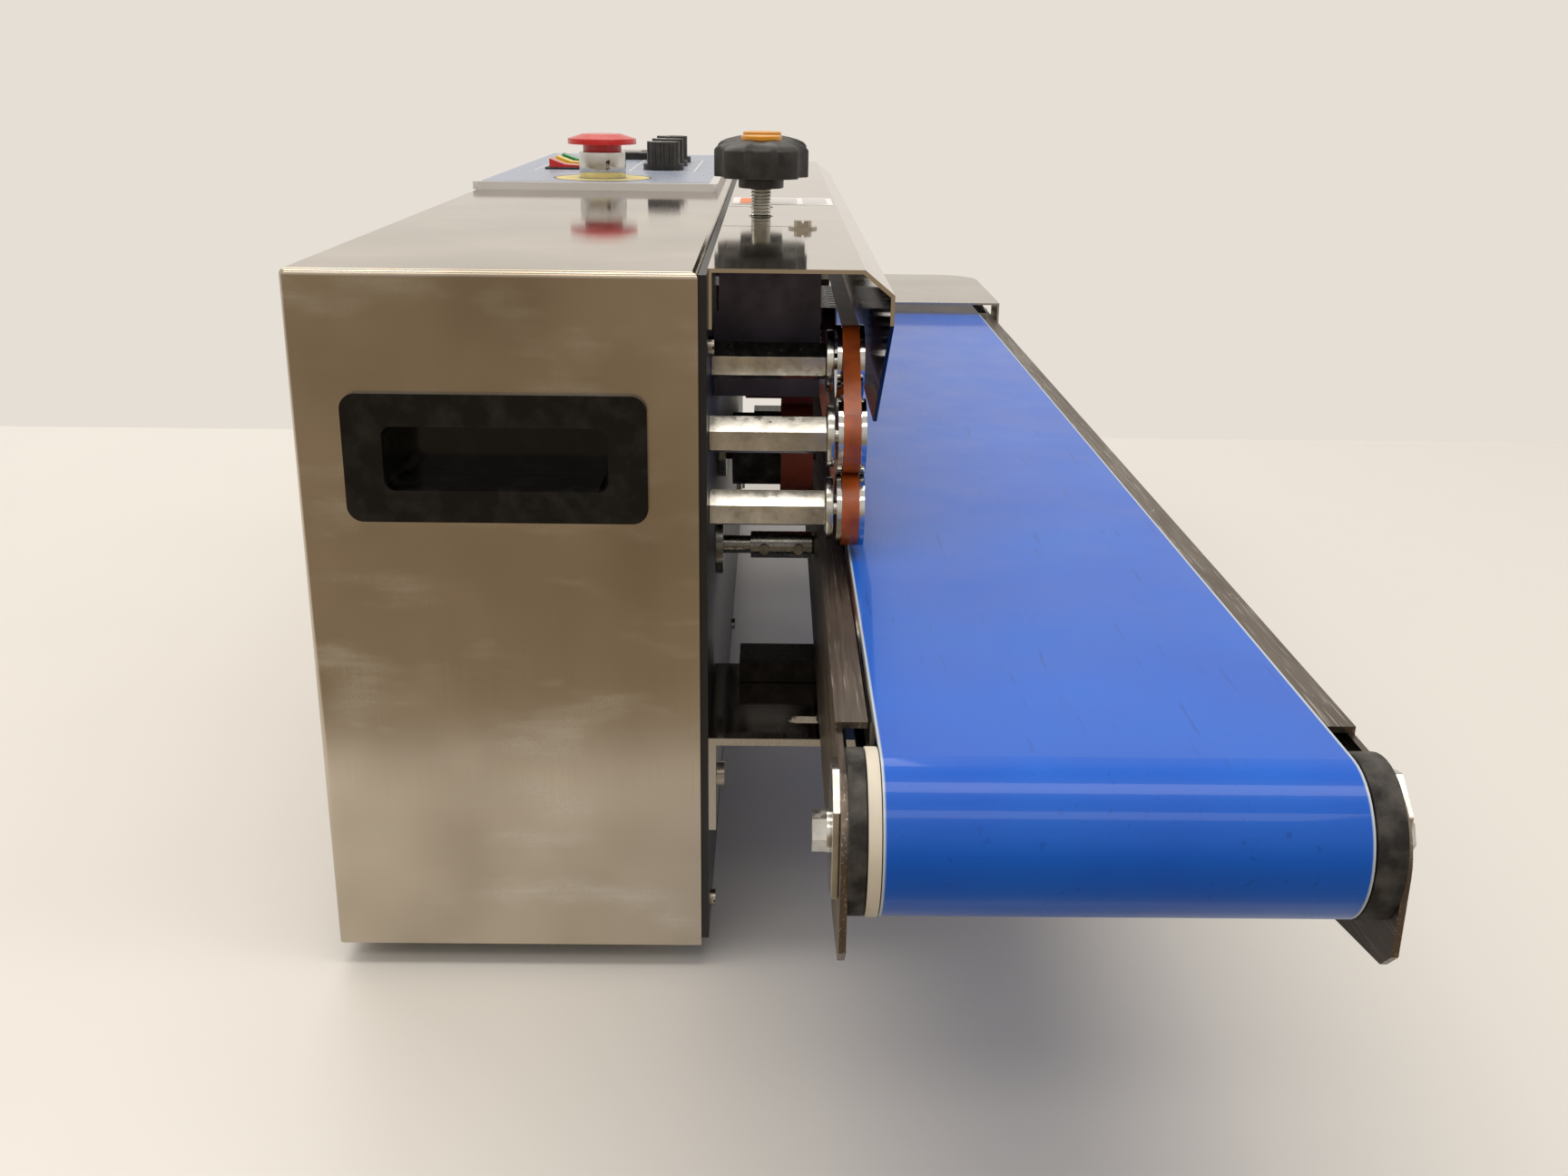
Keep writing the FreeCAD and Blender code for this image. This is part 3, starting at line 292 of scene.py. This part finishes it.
# %% Plastics
def moulded(name, colour, roughness, grain, depth, dust=0.05, **sockets):
    """Injection-moulded plastic. grain is in mm, and depth is how deep it is in mm."""
    material, main = shader(name, colour, 0.0, roughness, **sockets)
    film = patches(material, 9, 0, dust, detail=6, sharp=0.7, bias=0.6)
    join(material, blend(material, film, rgb(colour), rgb("B8B2AA")), main.inputs["Base Color"])
    low, high = roughness * 0.8, min(roughness * 1.3, 1.0)
    join(material, patches(material, 5, low, high, detail=4), main.inputs["Roughness"])
    relief(material, main, patches(material, grain, 0, 1, detail=2), depth)
    return material


gloss_black = moulded("black ABS, glossy", "060607", 0.11, 6.0, 0.01, dust=0.03, Specular_IOR_Level=0.35)
matte_black = moulded("black nylon, matte", "0E0E0F", 0.42, 0.45, 0.03)
rubber = moulded("black rubber", "141313", 0.7, 0.6, 0.06, dust=0.15)
red_plastic = moulded("red ABS, glossy", "C2161B", 0.22, 5.0, 0.008, Coat_Weight=0.25)
yellow_plastic = moulded("yellow switch plastic", "E3B51E", 0.24, 4.0, 0.01, Coat_Weight=0.2)
green_plastic = moulded("green switch plastic", "0F8A4A", 0.24, 4.0, 0.01, Coat_Weight=0.2)
amber_plastic = moulded("amber cap plastic", "D9931F", 0.3, 3.0, 0.01)
cream_nylon = moulded("cream nylon", "D3CDBF", 0.4, 0.8, 0.02, dust=0.25, Subsurface_Weight=0.08,
                      Subsurface_Scale=0.002)
red_rubber = moulded("red-brown printing rubber", "8E3A26", 0.55, 0.5, 0.03)
circuit_green = moulded("green circuit board", "1E5B38", 0.35, 1.5, 0.02)
print("plastics made")

# %% [markdown]
# ## The conveyor belt
# The belt is 2 mm polyurethane on woven cloth, sold as a blue PU belt. The skin is glossy but the cloth
# shows through it as a fine grid, best seen where a lamp glances off the bend. The grid has to follow
# the belt round its rollers, so the distance along the loop is worked out from the two
# roller axes: straight runs give X, and each bend adds its angle times its radius.

# %% Blue belt
near_low, near_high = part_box("near_roller")
far_low, far_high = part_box("far_roller")
belt_low, belt_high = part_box("conveyor_belt")
near_axis = (near_low + near_high) / 2
far_axis = (far_low + far_high) / 2
belt_radius = belt_high.z - near_axis.z


def along_loop(material, place, start_x, end_x, axis_z, radius):
    """How far round a flat loop each point lies, for a loop over two equal wheels."""
    split = add(material, "SeparateXYZ", {"Vector": place})
    flat = add(material, "Clamp", {"Value": split.outputs["X"], "Min": start_x, "Max": end_x}).outputs[0]
    out = add(material, "Math", {0: split.outputs["X"], 1: flat}, operation="SUBTRACT").outputs[0]
    up = add(material, "Math", {0: split.outputs["Z"], 1: axis_z}, operation="SUBTRACT").outputs[0]
    angle = add(material, "Math", {0: out, 1: up}, operation="ARCTAN2").outputs[0]
    run = add(material, "Math", {0: angle, 1: radius, 2: flat}, operation="MULTIPLY_ADD").outputs[0]
    return run, split.outputs["Y"]


def weave(material, run, across, pitch):
    """A woven grid of 0 to 1 whose threads are pitch mm apart."""
    turns = 2 * math.pi / (pitch * MM)
    waves = []
    for way in (run, across):
        phase = add(material, "Math", {0: way, 1: turns}, operation="MULTIPLY").outputs[0]
        waves.append(add(material, "Math", {0: phase}, operation="SINE").outputs[0])
    both = add(material, "Math", {0: waves[0], 1: waves[1]}, operation="MULTIPLY").outputs[0]
    return add(material, "Math", {0: both, 1: 0.5, 2: 0.5}, operation="MULTIPLY_ADD").outputs[0]


def blue_belt():
    """Blue polyurethane over cloth. The cut edges show the pale cloth."""
    material, main = shader("blue polyurethane belt", "0062D0", 0.0, 0.3, Coat_Weight=0.35,
                            Coat_Roughness=0.06, Specular_IOR_Level=0.2)
    place = add(material, "TexCoord").outputs["Object"]
    run, across = along_loop(material, place, near_axis.x, far_axis.x, near_axis.z, belt_radius)
    cloth = weave(material, run, across, 1.3)
    worn = patches(material, 60, 0, 1, detail=4, sharp=0.3)
    blue = blend(material, worn, rgb("0050BE"), rgb("0062D0"))
    scuff = patches(material, 2.5, 0, 0.5, stretch=(12, 1, 1), detail=4, sharp=0.88, bias=0.7)
    marked = blend(material, scuff, blue, rgb("04388A"))
    centre = (belt_low.y + belt_high.y) / 2
    off = add(material, "Math", {0: across, 1: centre}, operation="SUBTRACT").outputs[0]
    side = add(material, "Math", {0: off}, operation="ABSOLUTE").outputs[0]
    half = (belt_high.y - belt_low.y) / 2
    limits = {"From Min": half - 0.9 * MM, "From Max": half - 0.4 * MM}
    edge = add(material, "MapRange", {"Value": side, **limits}).outputs["Result"]
    join(material, blend(material, edge, marked, rgb("B9C4CE")), main.inputs["Base Color"])
    join(material, patches(material, 30, 0.3, 0.42, detail=5), main.inputs["Roughness"])
    relief(material, main, cloth, 0.012)
    return material


belt_blue = blue_belt()
print("belt made, threads 1.3 mm apart so that they show")

# %% [markdown]
# ## The sealing bands
# The two bands are glass cloth soaked in PTFE, brown like tea, 6.5 mm wide. Heat darkens them in
# patches, and the glass threads show as a fine grid under a waxy shine.

# %% Brown bands
def brown_band():
    """PTFE-coated glass cloth."""
    material, main = shader("brown PTFE glass cloth", "9A4720", 0.0, 0.34, Coat_Weight=0.2,
                            Coat_Roughness=0.25)
    place = add(material, "TexCoord").outputs["Object"]
    split = add(material, "SeparateXYZ", {"Vector": place})
    run = add(material, "Math", {0: split.outputs["X"], 1: split.outputs["Z"]}, operation="ADD").outputs[0]
    cloth = weave(material, run, split.outputs["Y"], 0.9)
    tone = blend(material, patches(material, 7, 0, 1, detail=5), rgb("BC5A1C"), rgb("843815"))
    faint = add(material, "Math", {0: cloth, 1: 0.35}, operation="MULTIPLY").outputs[0]
    join(material, blend(material, faint, tone, rgb("4E2212")), main.inputs["Base Color"])
    relief(material, main, cloth, 0.03)
    return material


band_cloth = brown_band()
print("bands made")

# %% [markdown]
# ## Giving every part its finish
# A part of the frame keeps its mesh, and only its material slot changes.

# %% Finish the frame's parts
finishes = {
    casing_steel: ["casing_cover"],
    plain_steel: ["base_plate", "slider_bed", "end_plate", "support_brackets", "casing_screws"],
    guard_steel: ["guard"],
    rail_steel: ["left_rail", "right_rail"],
    powder_coat: ["front_panel"],
    gloss_black: ["flush_handles"],
    matte_black: ["switch_bezels", "speed_dial", "print_heat_dial", "print_spacing_dial", "power_inlet",
                  "temperature_controller", "press_knob_left", "press_knob_right"],
    rubber: ["rubber_feet", "guide_discs", "print_drum", "drive_roller"],
    red_plastic: ["rocker_red", "estop_head", "estop_plunger"],
    yellow_plastic: ["rocker_yellow"],
    green_plastic: ["rocker_green"],
    chrome: ["estop_collar", "upper_nip_pulley", "lower_nip_pulley", "upper_return_pulley",
             "upper_far_pulley"],
    zinc: ["hex_posts", "axle_bolts", "tension_plates"],
    turned_steel: ["lower_drive_wheel", "upper_drive_wheel", "shaft_bearings", "drive_coupling",
                   "conveyor_drive_shaft", "press_yoke_left", "press_yoke_right"],
    dark_steel: ["conveyor_bars", "drive_chain"],
    grey_steel: ["bulkhead"],
    aluminium: ["near_roller", "far_roller", "cooling_blocks", "gear_motor"],
    bronze: ["heating_blocks"],
    band_cloth: ["upper_band", "lower_band"],
    red_rubber: ["print_wheel", "press_wheel_left", "press_wheel_right"],
    circuit_green: ["power_board"],
    belt_blue: ["conveyor_belt"],
    cream_nylon: ["near_roller_cap"],
}


def give(node, material):
    """Puts one material on a part of the frame and takes any other off."""
    node.data.materials.clear()
    node.data.materials.append(material)


for material, names in finishes.items():
    for name in names:
        give(nodes[name], material)
print(sum(len(names) for names in finishes.values()), "parts have a finish")

# %% [markdown]
# ## Broken edges
# Every real edge is slightly rounded, by a press, a mould or a file, and it catches a thin line of light.
# The model's meshes are loose triangles with sharp edges, so a Weld modifier joins them and a Bevel
# modifier rounds only the edges where the surface really turns.

# %% Round the edges of the model's parts
def round_edges(node, width, segments=2):
    """Rounds the sharp edges of one part by that width in mm. The part's own mesh isn't touched."""
    weld = node.modifiers.new("weld", "WELD")
    weld.merge_threshold = 1e-6
    bevel = node.modifiers.new("round", "BEVEL")
    bevel.width = width * MM
    bevel.segments = segments
    bevel.limit_method = "ANGLE"
    bevel.angle_limit = math.radians(40)


rounded_parts = {
    0.5: ["flush_handles", "temperature_controller", "end_plate", "control_plate"],
    0.35: ["hex_posts", "conveyor_bars", "tension_plates", "guide_discs", "near_roller_cap", "estop_head"],
    0.2: ["rocker_red", "rocker_yellow", "rocker_green", "switch_bezels", "speed_dial", "print_heat_dial",
          "print_spacing_dial", "axle_bolts", "support_brackets", "estop_collar"],
}
for width, names in rounded_parts.items():
    for name in names:
        round_edges(nodes[name], width)
print(sum(len(names) for names in rounded_parts.values()), "parts have rounded edges")

# %% [markdown]
# ## Helpers for modelling
# An operator acts on whatever is selected. So each new piece starts with nothing selected, and inside edit
# mode the wanted faces or corners are picked by a small test on their place.

# %% Modelling helpers
def primitive(kind, name, **settings):
    """Adds a primitive as the only selected object, with its place in its mesh."""
    bpy.ops.object.select_all(action="DESELECT")
    getattr(bpy.ops.mesh, f"primitive_{kind}_add")(**settings)
    piece = bpy.context.object
    piece.name = name
    bpy.ops.object.transform_apply(location=True, rotation=True, scale=True)
    return piece


def block(name, low, high):
    """A box between two corners."""
    low, high = Vector(low), Vector(high)
    return primitive("cube", name, size=1, location=(low + high) / 2, scale=high - low)


def pick_faces(piece, test):
    """In edit mode, selects only the faces whose middle and normal pass the test."""
    bpy.ops.mesh.select_mode(type="FACE")
    bpy.ops.mesh.select_all(action="DESELECT")
    bpy.ops.object.mode_set(mode="OBJECT")
    for face in piece.data.polygons:
        face.select = test(face.center, face.normal)
    bpy.ops.object.mode_set(mode="EDIT")


def pick_points(piece, test):
    """In edit mode, selects only the points whose place passes the test."""
    bpy.ops.mesh.select_mode(type="VERT")
    bpy.ops.mesh.select_all(action="DESELECT")
    bpy.ops.object.mode_set(mode="OBJECT")
    for point in piece.data.vertices:
        point.select = test(point.co)
    bpy.ops.object.mode_set(mode="EDIT")


def close_up(piece, width, material, segments=3, angle=35):
    """Makes normals agree, rounds the edges by width in mm and smooths the shading."""
    bpy.ops.object.mode_set(mode="EDIT")
    bpy.ops.mesh.select_all(action="SELECT")
    bpy.ops.mesh.normals_make_consistent(inside=False)
    bpy.ops.object.mode_set(mode="OBJECT")
    if width:
        bevel = piece.modifiers.new("round", "BEVEL")
        bevel.width = width * MM
        bevel.segments = segments
        bevel.limit_method = "ANGLE"
        bevel.angle_limit = math.radians(angle)
        bpy.ops.object.modifier_apply(modifier=bevel.name)
    bpy.ops.object.shade_smooth_by_angle(angle=math.radians(angle))
    give(piece, material)


def unite(name, pieces):
    """Joins pieces into the first one."""
    bpy.ops.object.select_all(action="DESELECT")
    for piece in pieces:
        piece.select_set(True)
    bpy.context.view_layer.objects.active = pieces[0]
    bpy.ops.object.join()
    pieces[0].name = name
    return pieces[0]


# %% [markdown]
# ## The two star knobs
# A star knob is moulded nylon with five broad lobes, a domed top and a round hub. A cylinder with a point
# every three degrees has its points drawn in where each hollow lies. The domed top is the top face
# extruded and shrunk in four steps, and the hub is a second cylinder.

# %% Star knob
STAR_LOBES = 5
star_low, star_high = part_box("press_knob_left")
star_radius = 23 * MM
star_base = star_high.z - 19.5 * MM
star_side = 12.7 * MM
hollow_radius = 12 * MM
hollow_reach = 30.7 * MM
hollow_steps = 7
hub_radius = 11 * MM
hub_height = 5.5 * MM
hub_sunk = 0.5 * MM
dome_steps = ((0.93, 1.7), (0.86, 1.3), (0.75, 1.2), (0.72, 0.7))


def star_reach(angle):
    """How far out the knob's side lies at an angle from the middle of a hollow."""
    inside = hollow_radius ** 2 - (hollow_reach * math.sin(angle)) ** 2
    if inside <= 0:
        return star_radius
    return min(star_radius, hollow_reach * math.cos(angle) - math.sqrt(inside))


def star_knob(name, x, y):
    """The knob's body: a lobed disc with a domed top, and the hub under it."""
    middle = Vector((x, y, star_base))
    body = primitive("cylinder", name, vertices=120, radius=star_radius, depth=star_side,
                     location=(x, y, star_base + star_side / 2))
    bpy.ops.object.mode_set(mode="EDIT")
    sector = 2 * math.pi / STAR_LOBES
    for step in range(hollow_steps):
        angle = math.radians(3 * step)

        def at_angle(place):
            turn = math.atan2(place.y - y, place.x - x) % sector
            return abs(abs(turn - sector / 2) - angle) < 0.02

        share = star_reach(angle) / star_radius
        pick_points(body, at_angle)
        bpy.ops.transform.resize(value=(share, share, 1), center_override=middle)
    pick_faces(body, lambda place, normal: normal.z > 0.9)
    for share, lift in dome_steps:
        bpy.ops.mesh.extrude_region_move(TRANSFORM_OT_translate={"value": (0, 0, lift * MM)})
        bpy.ops.transform.resize(value=(share, share, 1), center_override=middle)
    bpy.ops.object.mode_set(mode="OBJECT")
    hub = primitive("cylinder", "hub", vertices=48, radius=hub_radius, depth=hub_height,
                    location=(x, y, star_base + hub_sunk - hub_height / 2))
    body = unite(name, [body, hub])
    close_up(body, 0.5, matte_black)
    return body


# %% [markdown]
# ## Caps and studs
# A snap-in amber cap hides the screw insert. The stud is M10 steel rod with a 1.5 mm thread. The thread is
# made of rings, each pushed out and in again, which from any normal distance looks
# the same as the real helix and stays a closed shape.

# %% Cap and threaded stud
THREAD_PITCH = 1.5 * MM
stud_radius = 5.0 * MM
root_radius = 4.3 * MM


def knob_cap(name, x, y):
    """A shallow dished cap in the middle of the knob's top."""
    cap = primitive("cylinder", name, vertices=48, radius=9.8 * MM, depth=2.4 * MM,
                    location=(x, y, star_high.z - 1.25 * MM))
    bpy.ops.object.mode_set(mode="EDIT")
    pick_faces(cap, lambda place, normal: normal.z > 0.99)
    bpy.ops.mesh.inset(thickness=2.2 * MM, depth=0)
    bpy.ops.transform.translate(value=(0, 0, -0.3 * MM))
    close_up(cap, 0.4, amber_plastic)
    return cap


def threaded_stud(name, x, y, low, high):
    """A rod with a ring thread from low to high."""
    stud = primitive("circle", name, vertices=28, radius=root_radius, fill_type="NGON", location=(x, y, low))
    bpy.ops.object.mode_set(mode="EDIT")
    bpy.ops.mesh.select_all(action="SELECT")
    turns = int((high - low) / THREAD_PITCH)
    out = stud_radius / root_radius
    for half in range(2 * turns):
        share = out if half % 2 == 0 else 1 / out
        bpy.ops.mesh.extrude_region_move(TRANSFORM_OT_translate={"value": (0, 0, THREAD_PITCH / 2)})
        bpy.ops.transform.resize(value=(share, share, 1), center_override=(x, y, low))
    close_up(stud, 0, zinc, angle=60)
    return stud


for side in ("left", "right"):
    low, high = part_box(f"press_knob_{side}")
    x, y = high.x - star_radius, (low.y + high.y) / 2
    parts = [(star_knob(f"star_knob_{side}", x, y), "black_matte_plastic"),
             (knob_cap(f"star_knob_cap_{side}", x, y), "yellow_plastic"),
             (threaded_stud(f"knob_stud_{side}", x, y, low.z, star_base - 1 * MM), "zinc_steel")]
    for piece, slot in parts:
        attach(piece, f"{side}_knob")
    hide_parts(f"press_knob_{side}")
print("two star knobs, each with a cap and", int(1 / THREAD_PITCH * (star_base - star_low.z)), "threads")

# %% [markdown]
# ## What is printed on the control plate
# The switches stand on a printed polyester sheet, blue-grey with a pale border, glued to the plate. The
# sheet has holes for the switches and the emergency stop, cut by a Boolean. A pale yellow
# ring marks the emergency stop. Each dial has a scale of eleven strokes.

# %% Control sheet
plate_low, plate_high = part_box("control_plate")
sheet_top = plate_high.z + 0.25 * MM
sheet_blue = moulded("printed polyester, blue-grey", "8E9AB0", 0.3, 3.0, 0.004, dust=0.12)
print_dark = moulded("printed ink, dark", "20242C", 0.45, 2.0, 0.002)
print_white = moulded("printed ink, white", "E4E5E6", 0.4, 2.0, 0.002)
print_yellow = moulded("printed ink, pale yellow", "DECF7C", 0.4, 2.0, 0.002)
plate_grey = moulded("grey painted plate", "C3C3C6", 0.38, 1.2, 0.01, dust=0.1)
give(nodes["control_plate"], plate_grey)


def cut_out(piece, cutter):
    """Takes the cutter's shape out of the piece and removes the cutter."""
    boolean = piece.modifiers.new("cut", "BOOLEAN")
    boolean.object = cutter
    boolean.operation = "DIFFERENCE"
    boolean.solver = "EXACT"
    bpy.ops.object.select_all(action="DESELECT")
    piece.select_set(True)
    bpy.context.view_layer.objects.active = piece
    bpy.ops.object.modifier_apply(modifier=boolean.name)
    bpy.data.objects.remove(cutter)


def finish_print(piece):
    """A printed mark rides on the casing."""
    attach(piece, "casing")
    return piece


border = 5 * MM
sheet = block("control_sheet", (plate_low.x + border, plate_low.y + border, plate_high.z - 0.1 * MM),
              (plate_high.x - border, plate_high.y - border, sheet_top))
for switch in ("rocker_red", "rocker_yellow", "rocker_green"):
    low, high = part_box(switch)
    grow = 0.6 * MM
    cut_out(sheet, block("cutter", (low.x - grow, low.y - grow, plate_low.z),
                         (high.x + grow, high.y + grow, high.z)))
stop_low, stop_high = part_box("estop_collar")
stop = (stop_low + stop_high) / 2
cut_out(sheet, primitive("cylinder", "cutter", vertices=64, radius=13.5 * MM, depth=20 * MM,
                         location=(stop.x, stop.y, plate_high.z)))
close_up(sheet, 0, sheet_blue)
finish_print(sheet)
print("control sheet with four holes")

# %% [markdown]
# ## Marks printed on the sheet
# The marks are ink a tenth of a millimetre proud of the sheet, so that they show without being painted on.

# %% Stop ring and dial scales
def ring(name, x, y, z, inner, outer, height, material):
    """A flat ring lying on the sheet."""
    piece = primitive("cylinder", name, vertices=96, radius=outer * MM, depth=height * MM, location=(x, y, z))
    cut_out(piece, primitive("cylinder", "cutter", vertices=96, radius=inner * MM, depth=20 * MM,
                             location=(x, y, z)))
    close_up(piece, 0, material)
    return piece


mark_z = sheet_top + 0.03 * MM
finish_print(ring("stop_ring", stop.x, stop.y, mark_z, 15, 29, 0.1, print_yellow))
finish_print(ring("stop_ring_edge", stop.x, stop.y, mark_z + 0.05 * MM, 28.4, 29.4, 0.1, print_dark))


def stroke(x, y, angle, inner, outer, width):
    """One stroke of a scale, pointing away from the dial's middle."""
    reach = (outer + inner) / 2 * MM
    return primitive("cube", "stroke", size=1, scale=((outer - inner) * MM, width * MM, 0.1 * MM),
                     location=(x + reach * math.cos(angle), y + reach * math.sin(angle), mark_z),
                     rotation=(0, 0, angle))


def dial_scale(dial):
    """Eleven strokes over 300 degrees, with the first, middle and last longer."""
    low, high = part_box(dial)
    x, y = (low.x + high.x) / 2, (low.y + high.y) / 2
    strokes = []
    for i in range(11):
        angle = math.radians(-60 + 30 * i)
        strokes.append(stroke(x, y, angle, 14.6, 18.4 if i % 5 == 0 else 16.8, 0.6))
    scale = unite(f"{dial}_scale", strokes)
    close_up(scale, 0, print_white)
    return finish_print(scale)


for dial in ("speed_dial", "print_heat_dial", "print_spacing_dial"):
    dial_scale(dial)
print("stop ring and three scales made")

# %% [markdown]
# ## Field frames, pointers and the temperature display
# A thin frame groups the switches, and another the dials. Each dial has a white pointer line on its cap.
# The temperature controller has a dark window and four membrane keys.

# %% Frames, pointers and display
def frame_round(name, low_x, high_x, low_y, high_y, width=0.7):
    """A thin printed rectangle."""
    outer = block(name, (low_x, low_y, mark_z - 0.05 * MM), (high_x, high_y, mark_z + 0.05 * MM))
    w = width * MM
    cut_out(outer, block("cutter", (low_x + w, low_y + w, mark_z - 1 * MM),
                         (high_x - w, high_y - w, mark_z + 1 * MM)))
    close_up(outer, 0, print_white)
    return finish_print(outer)


bezel_low, bezel_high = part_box("switch_bezels")
gap = 6 * MM
frame_round("switch_frame", bezel_low.x - gap, bezel_high.x + gap, bezel_low.y - gap, bezel_high.y + gap)
first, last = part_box("speed_dial")[0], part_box("print_spacing_dial")[1]
frame_round("dial_frame", first.x - 8 * MM, last.x + 8 * MM, first.y - 8 * MM, last.y + 8 * MM)
for dial in ("speed_dial", "print_heat_dial", "print_spacing_dial"):
    low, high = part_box(dial)
    x, y = (low.x + high.x) / 2, (low.y + high.y) / 2
    line = block(f"{dial}_pointer", (x - 0.5 * MM, y + 1.5 * MM, high.z - 0.3 * MM),
                 (x + 0.5 * MM, y + 8.3 * MM, high.z + 0.12 * MM))
    close_up(line, 0.08, print_white)
    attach(line, dial)
unit_low, unit_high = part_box("temperature_controller")
unit = (unit_low + unit_high) / 2
display_glass = moulded("display window, smoked", "140606", 0.08, 8.0, 0.002, dust=0.02)
window = block("display_window", (unit.x - 18 * MM, unit.y - 2 * MM, unit_high.z - 0.4 * MM),
               (unit.x + 18 * MM, unit.y + 17 * MM, unit_high.z + 0.3 * MM))
close_up(window, 0.3, display_glass)
finish_print(window)
for i in range(4):
    x = unit.x + (i - 1.5) * 9 * MM
    key = block(f"display_key_{i + 1}", (x - 3 * MM, unit.y - 16 * MM, unit_high.z - 0.4 * MM),
                (x + 3 * MM, unit.y - 10 * MM, unit_high.z + 0.5 * MM))
    close_up(key, 0.45, print_white)
    finish_print(key)
print("frames, pointers and display made")

# %% [markdown]
# ## Labels and painted slot shade on the guard
# The guard's top carries a row of printed labels, here plain blocks with no wording, and two fine slots
# where its sections meet, drawn as thin dark strips of painted shade.

# %% Labels and painted slot shade
guard_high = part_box("guard")[1]
guard_top = guard_high.z
label_x = casing_low.x + 290 * MM
label_back = guard_high.y - 1.5 * MM
label_orange = moulded("printed ink, orange", "E07A3A", 0.4, 2.0, 0.002)
rows = [("label_frame", 0, 54, print_white, 0.0, 44), ("label_block_orange", 4, 17, label_orange, 4.0, 36),
        ("label_block_grey", 21, 35, plate_grey, 4.0, 36), ("label_block_pale", 38, 51, plate_grey, 4.0, 36)]
for i, (name, start, stop_at, material, inset, length) in enumerate(rows):
    top = guard_top + (0.15 + 0.08 * (i > 0)) * MM
    label = block(name, (label_x + inset * MM, label_back - stop_at * MM, guard_top - 0.05 * MM),
                  (label_x + (inset + length) * MM, label_back - start * MM, top))
    close_up(label, 0, material)
    finish_print(label)
# painted shade: each slot is a thin dark strip in the dark ink material, standing for the shade inside the
# slot
for i, (along, reach) in enumerate(((170, 36), (275, 18))):
    x = casing_low.x + along * MM
    slot_shade = block(f"guard_slot_shade_{i + 1}", (x, guard_high.y - reach * MM, guard_top - 0.1 * MM),
                 (x + 0.7 * MM, guard_high.y - 0.5 * MM, guard_top + 0.04 * MM))
    close_up(slot_shade, 0, print_dark)
    finish_print(slot_shade)
print("labels and seams made")

# %% [markdown]
# ## The table, the room and the lamps
# The machine stands on a white laminate table against a pale wall. The wall and the room are the
# world's colour: warm and pale ahead, browner and darker behind the camera and below the table's edge,
# which is what the casing's end mirrors. Three long ceiling lamps give soft light from above.

# %% Table, world and lamps
table_edge = casing_low.x - 210 * MM
table_end = 0.66
table_half = 1.7
bpy.ops.object.select_all(action="DESELECT")
bpy.ops.mesh.primitive_plane_add(size=1, location=((table_edge + table_end) / 2, 0, 0))
table = bpy.context.object
table.name = "table"
table.scale = (table_end - table_edge, 2 * table_half, 1)
bpy.ops.object.transform_apply(location=True, rotation=True, scale=True)
laminate, laminate_main = shader("white laminate", "D6D5D2", 0.0, 0.38)
join(laminate, patches(laminate, 120, 0.3, 0.45, detail=3), laminate_main.inputs["Roughness"])
table.data.materials.append(laminate)


def room(wall, dim, strength):
    """The world: one colour all round, and a dimmer one low down behind the camera."""
    world = bpy.data.worlds.new("room")
    bpy.context.scene.world = world
    world.use_nodes = True
    light = world.node_tree.nodes["Background"]
    split = add(world, "SeparateXYZ", {"Vector": add(world, "TexCoord").outputs["Generated"]})
    behind = add(world, "MapRange", {"Value": split.outputs["X"], "From Min": 0.15, "From Max": -0.45})
    low = add(world, "MapRange", {"Value": split.outputs["Z"], "From Min": 0.35, "From Max": -0.1})
    share = add(world, "Math", {0: behind.outputs["Result"], 1: low.outputs["Result"]}, operation="MULTIPLY")
    join(world, blend(world, share.outputs["Value"], rgb(wall), rgb(dim)), light.inputs["Color"])
    light.inputs["Strength"].default_value = strength


def ceiling_lamp(name, place, size, power, colour):
    """A long soft lamp facing straight down."""
    lamp = bpy.data.lights.new(name, "AREA")
    lamp.shape = "RECTANGLE"
    lamp.size, lamp.size_y = size
    lamp.energy = power
    lamp.color = rgb(colour)[:3]
    holder = bpy.data.objects.new(name, lamp)
    holder.location = place
    bpy.context.scene.collection.objects.link(holder)


room("E6DFD6", "9C8A72", 1.0)
bpy.context.scene.view_settings.view_transform = "Standard"
lamp_height = 2.1
ceiling_lamp("lamp_over_outfeed", (near_axis.x - 0.02, -0.1, lamp_height), (0.55, 2.6), 18, "FFF6EA")
ceiling_lamp("lamp_behind_machine", (1.5, 1.0, lamp_height), (1.0, 2.6), 27, "FFF8F0")
ceiling_lamp("lamp_behind_camera", (-2.1, 0.2, lamp_height), (0.6, 2.6), 13, "FFF6EA")
print("table, room and lamps made")
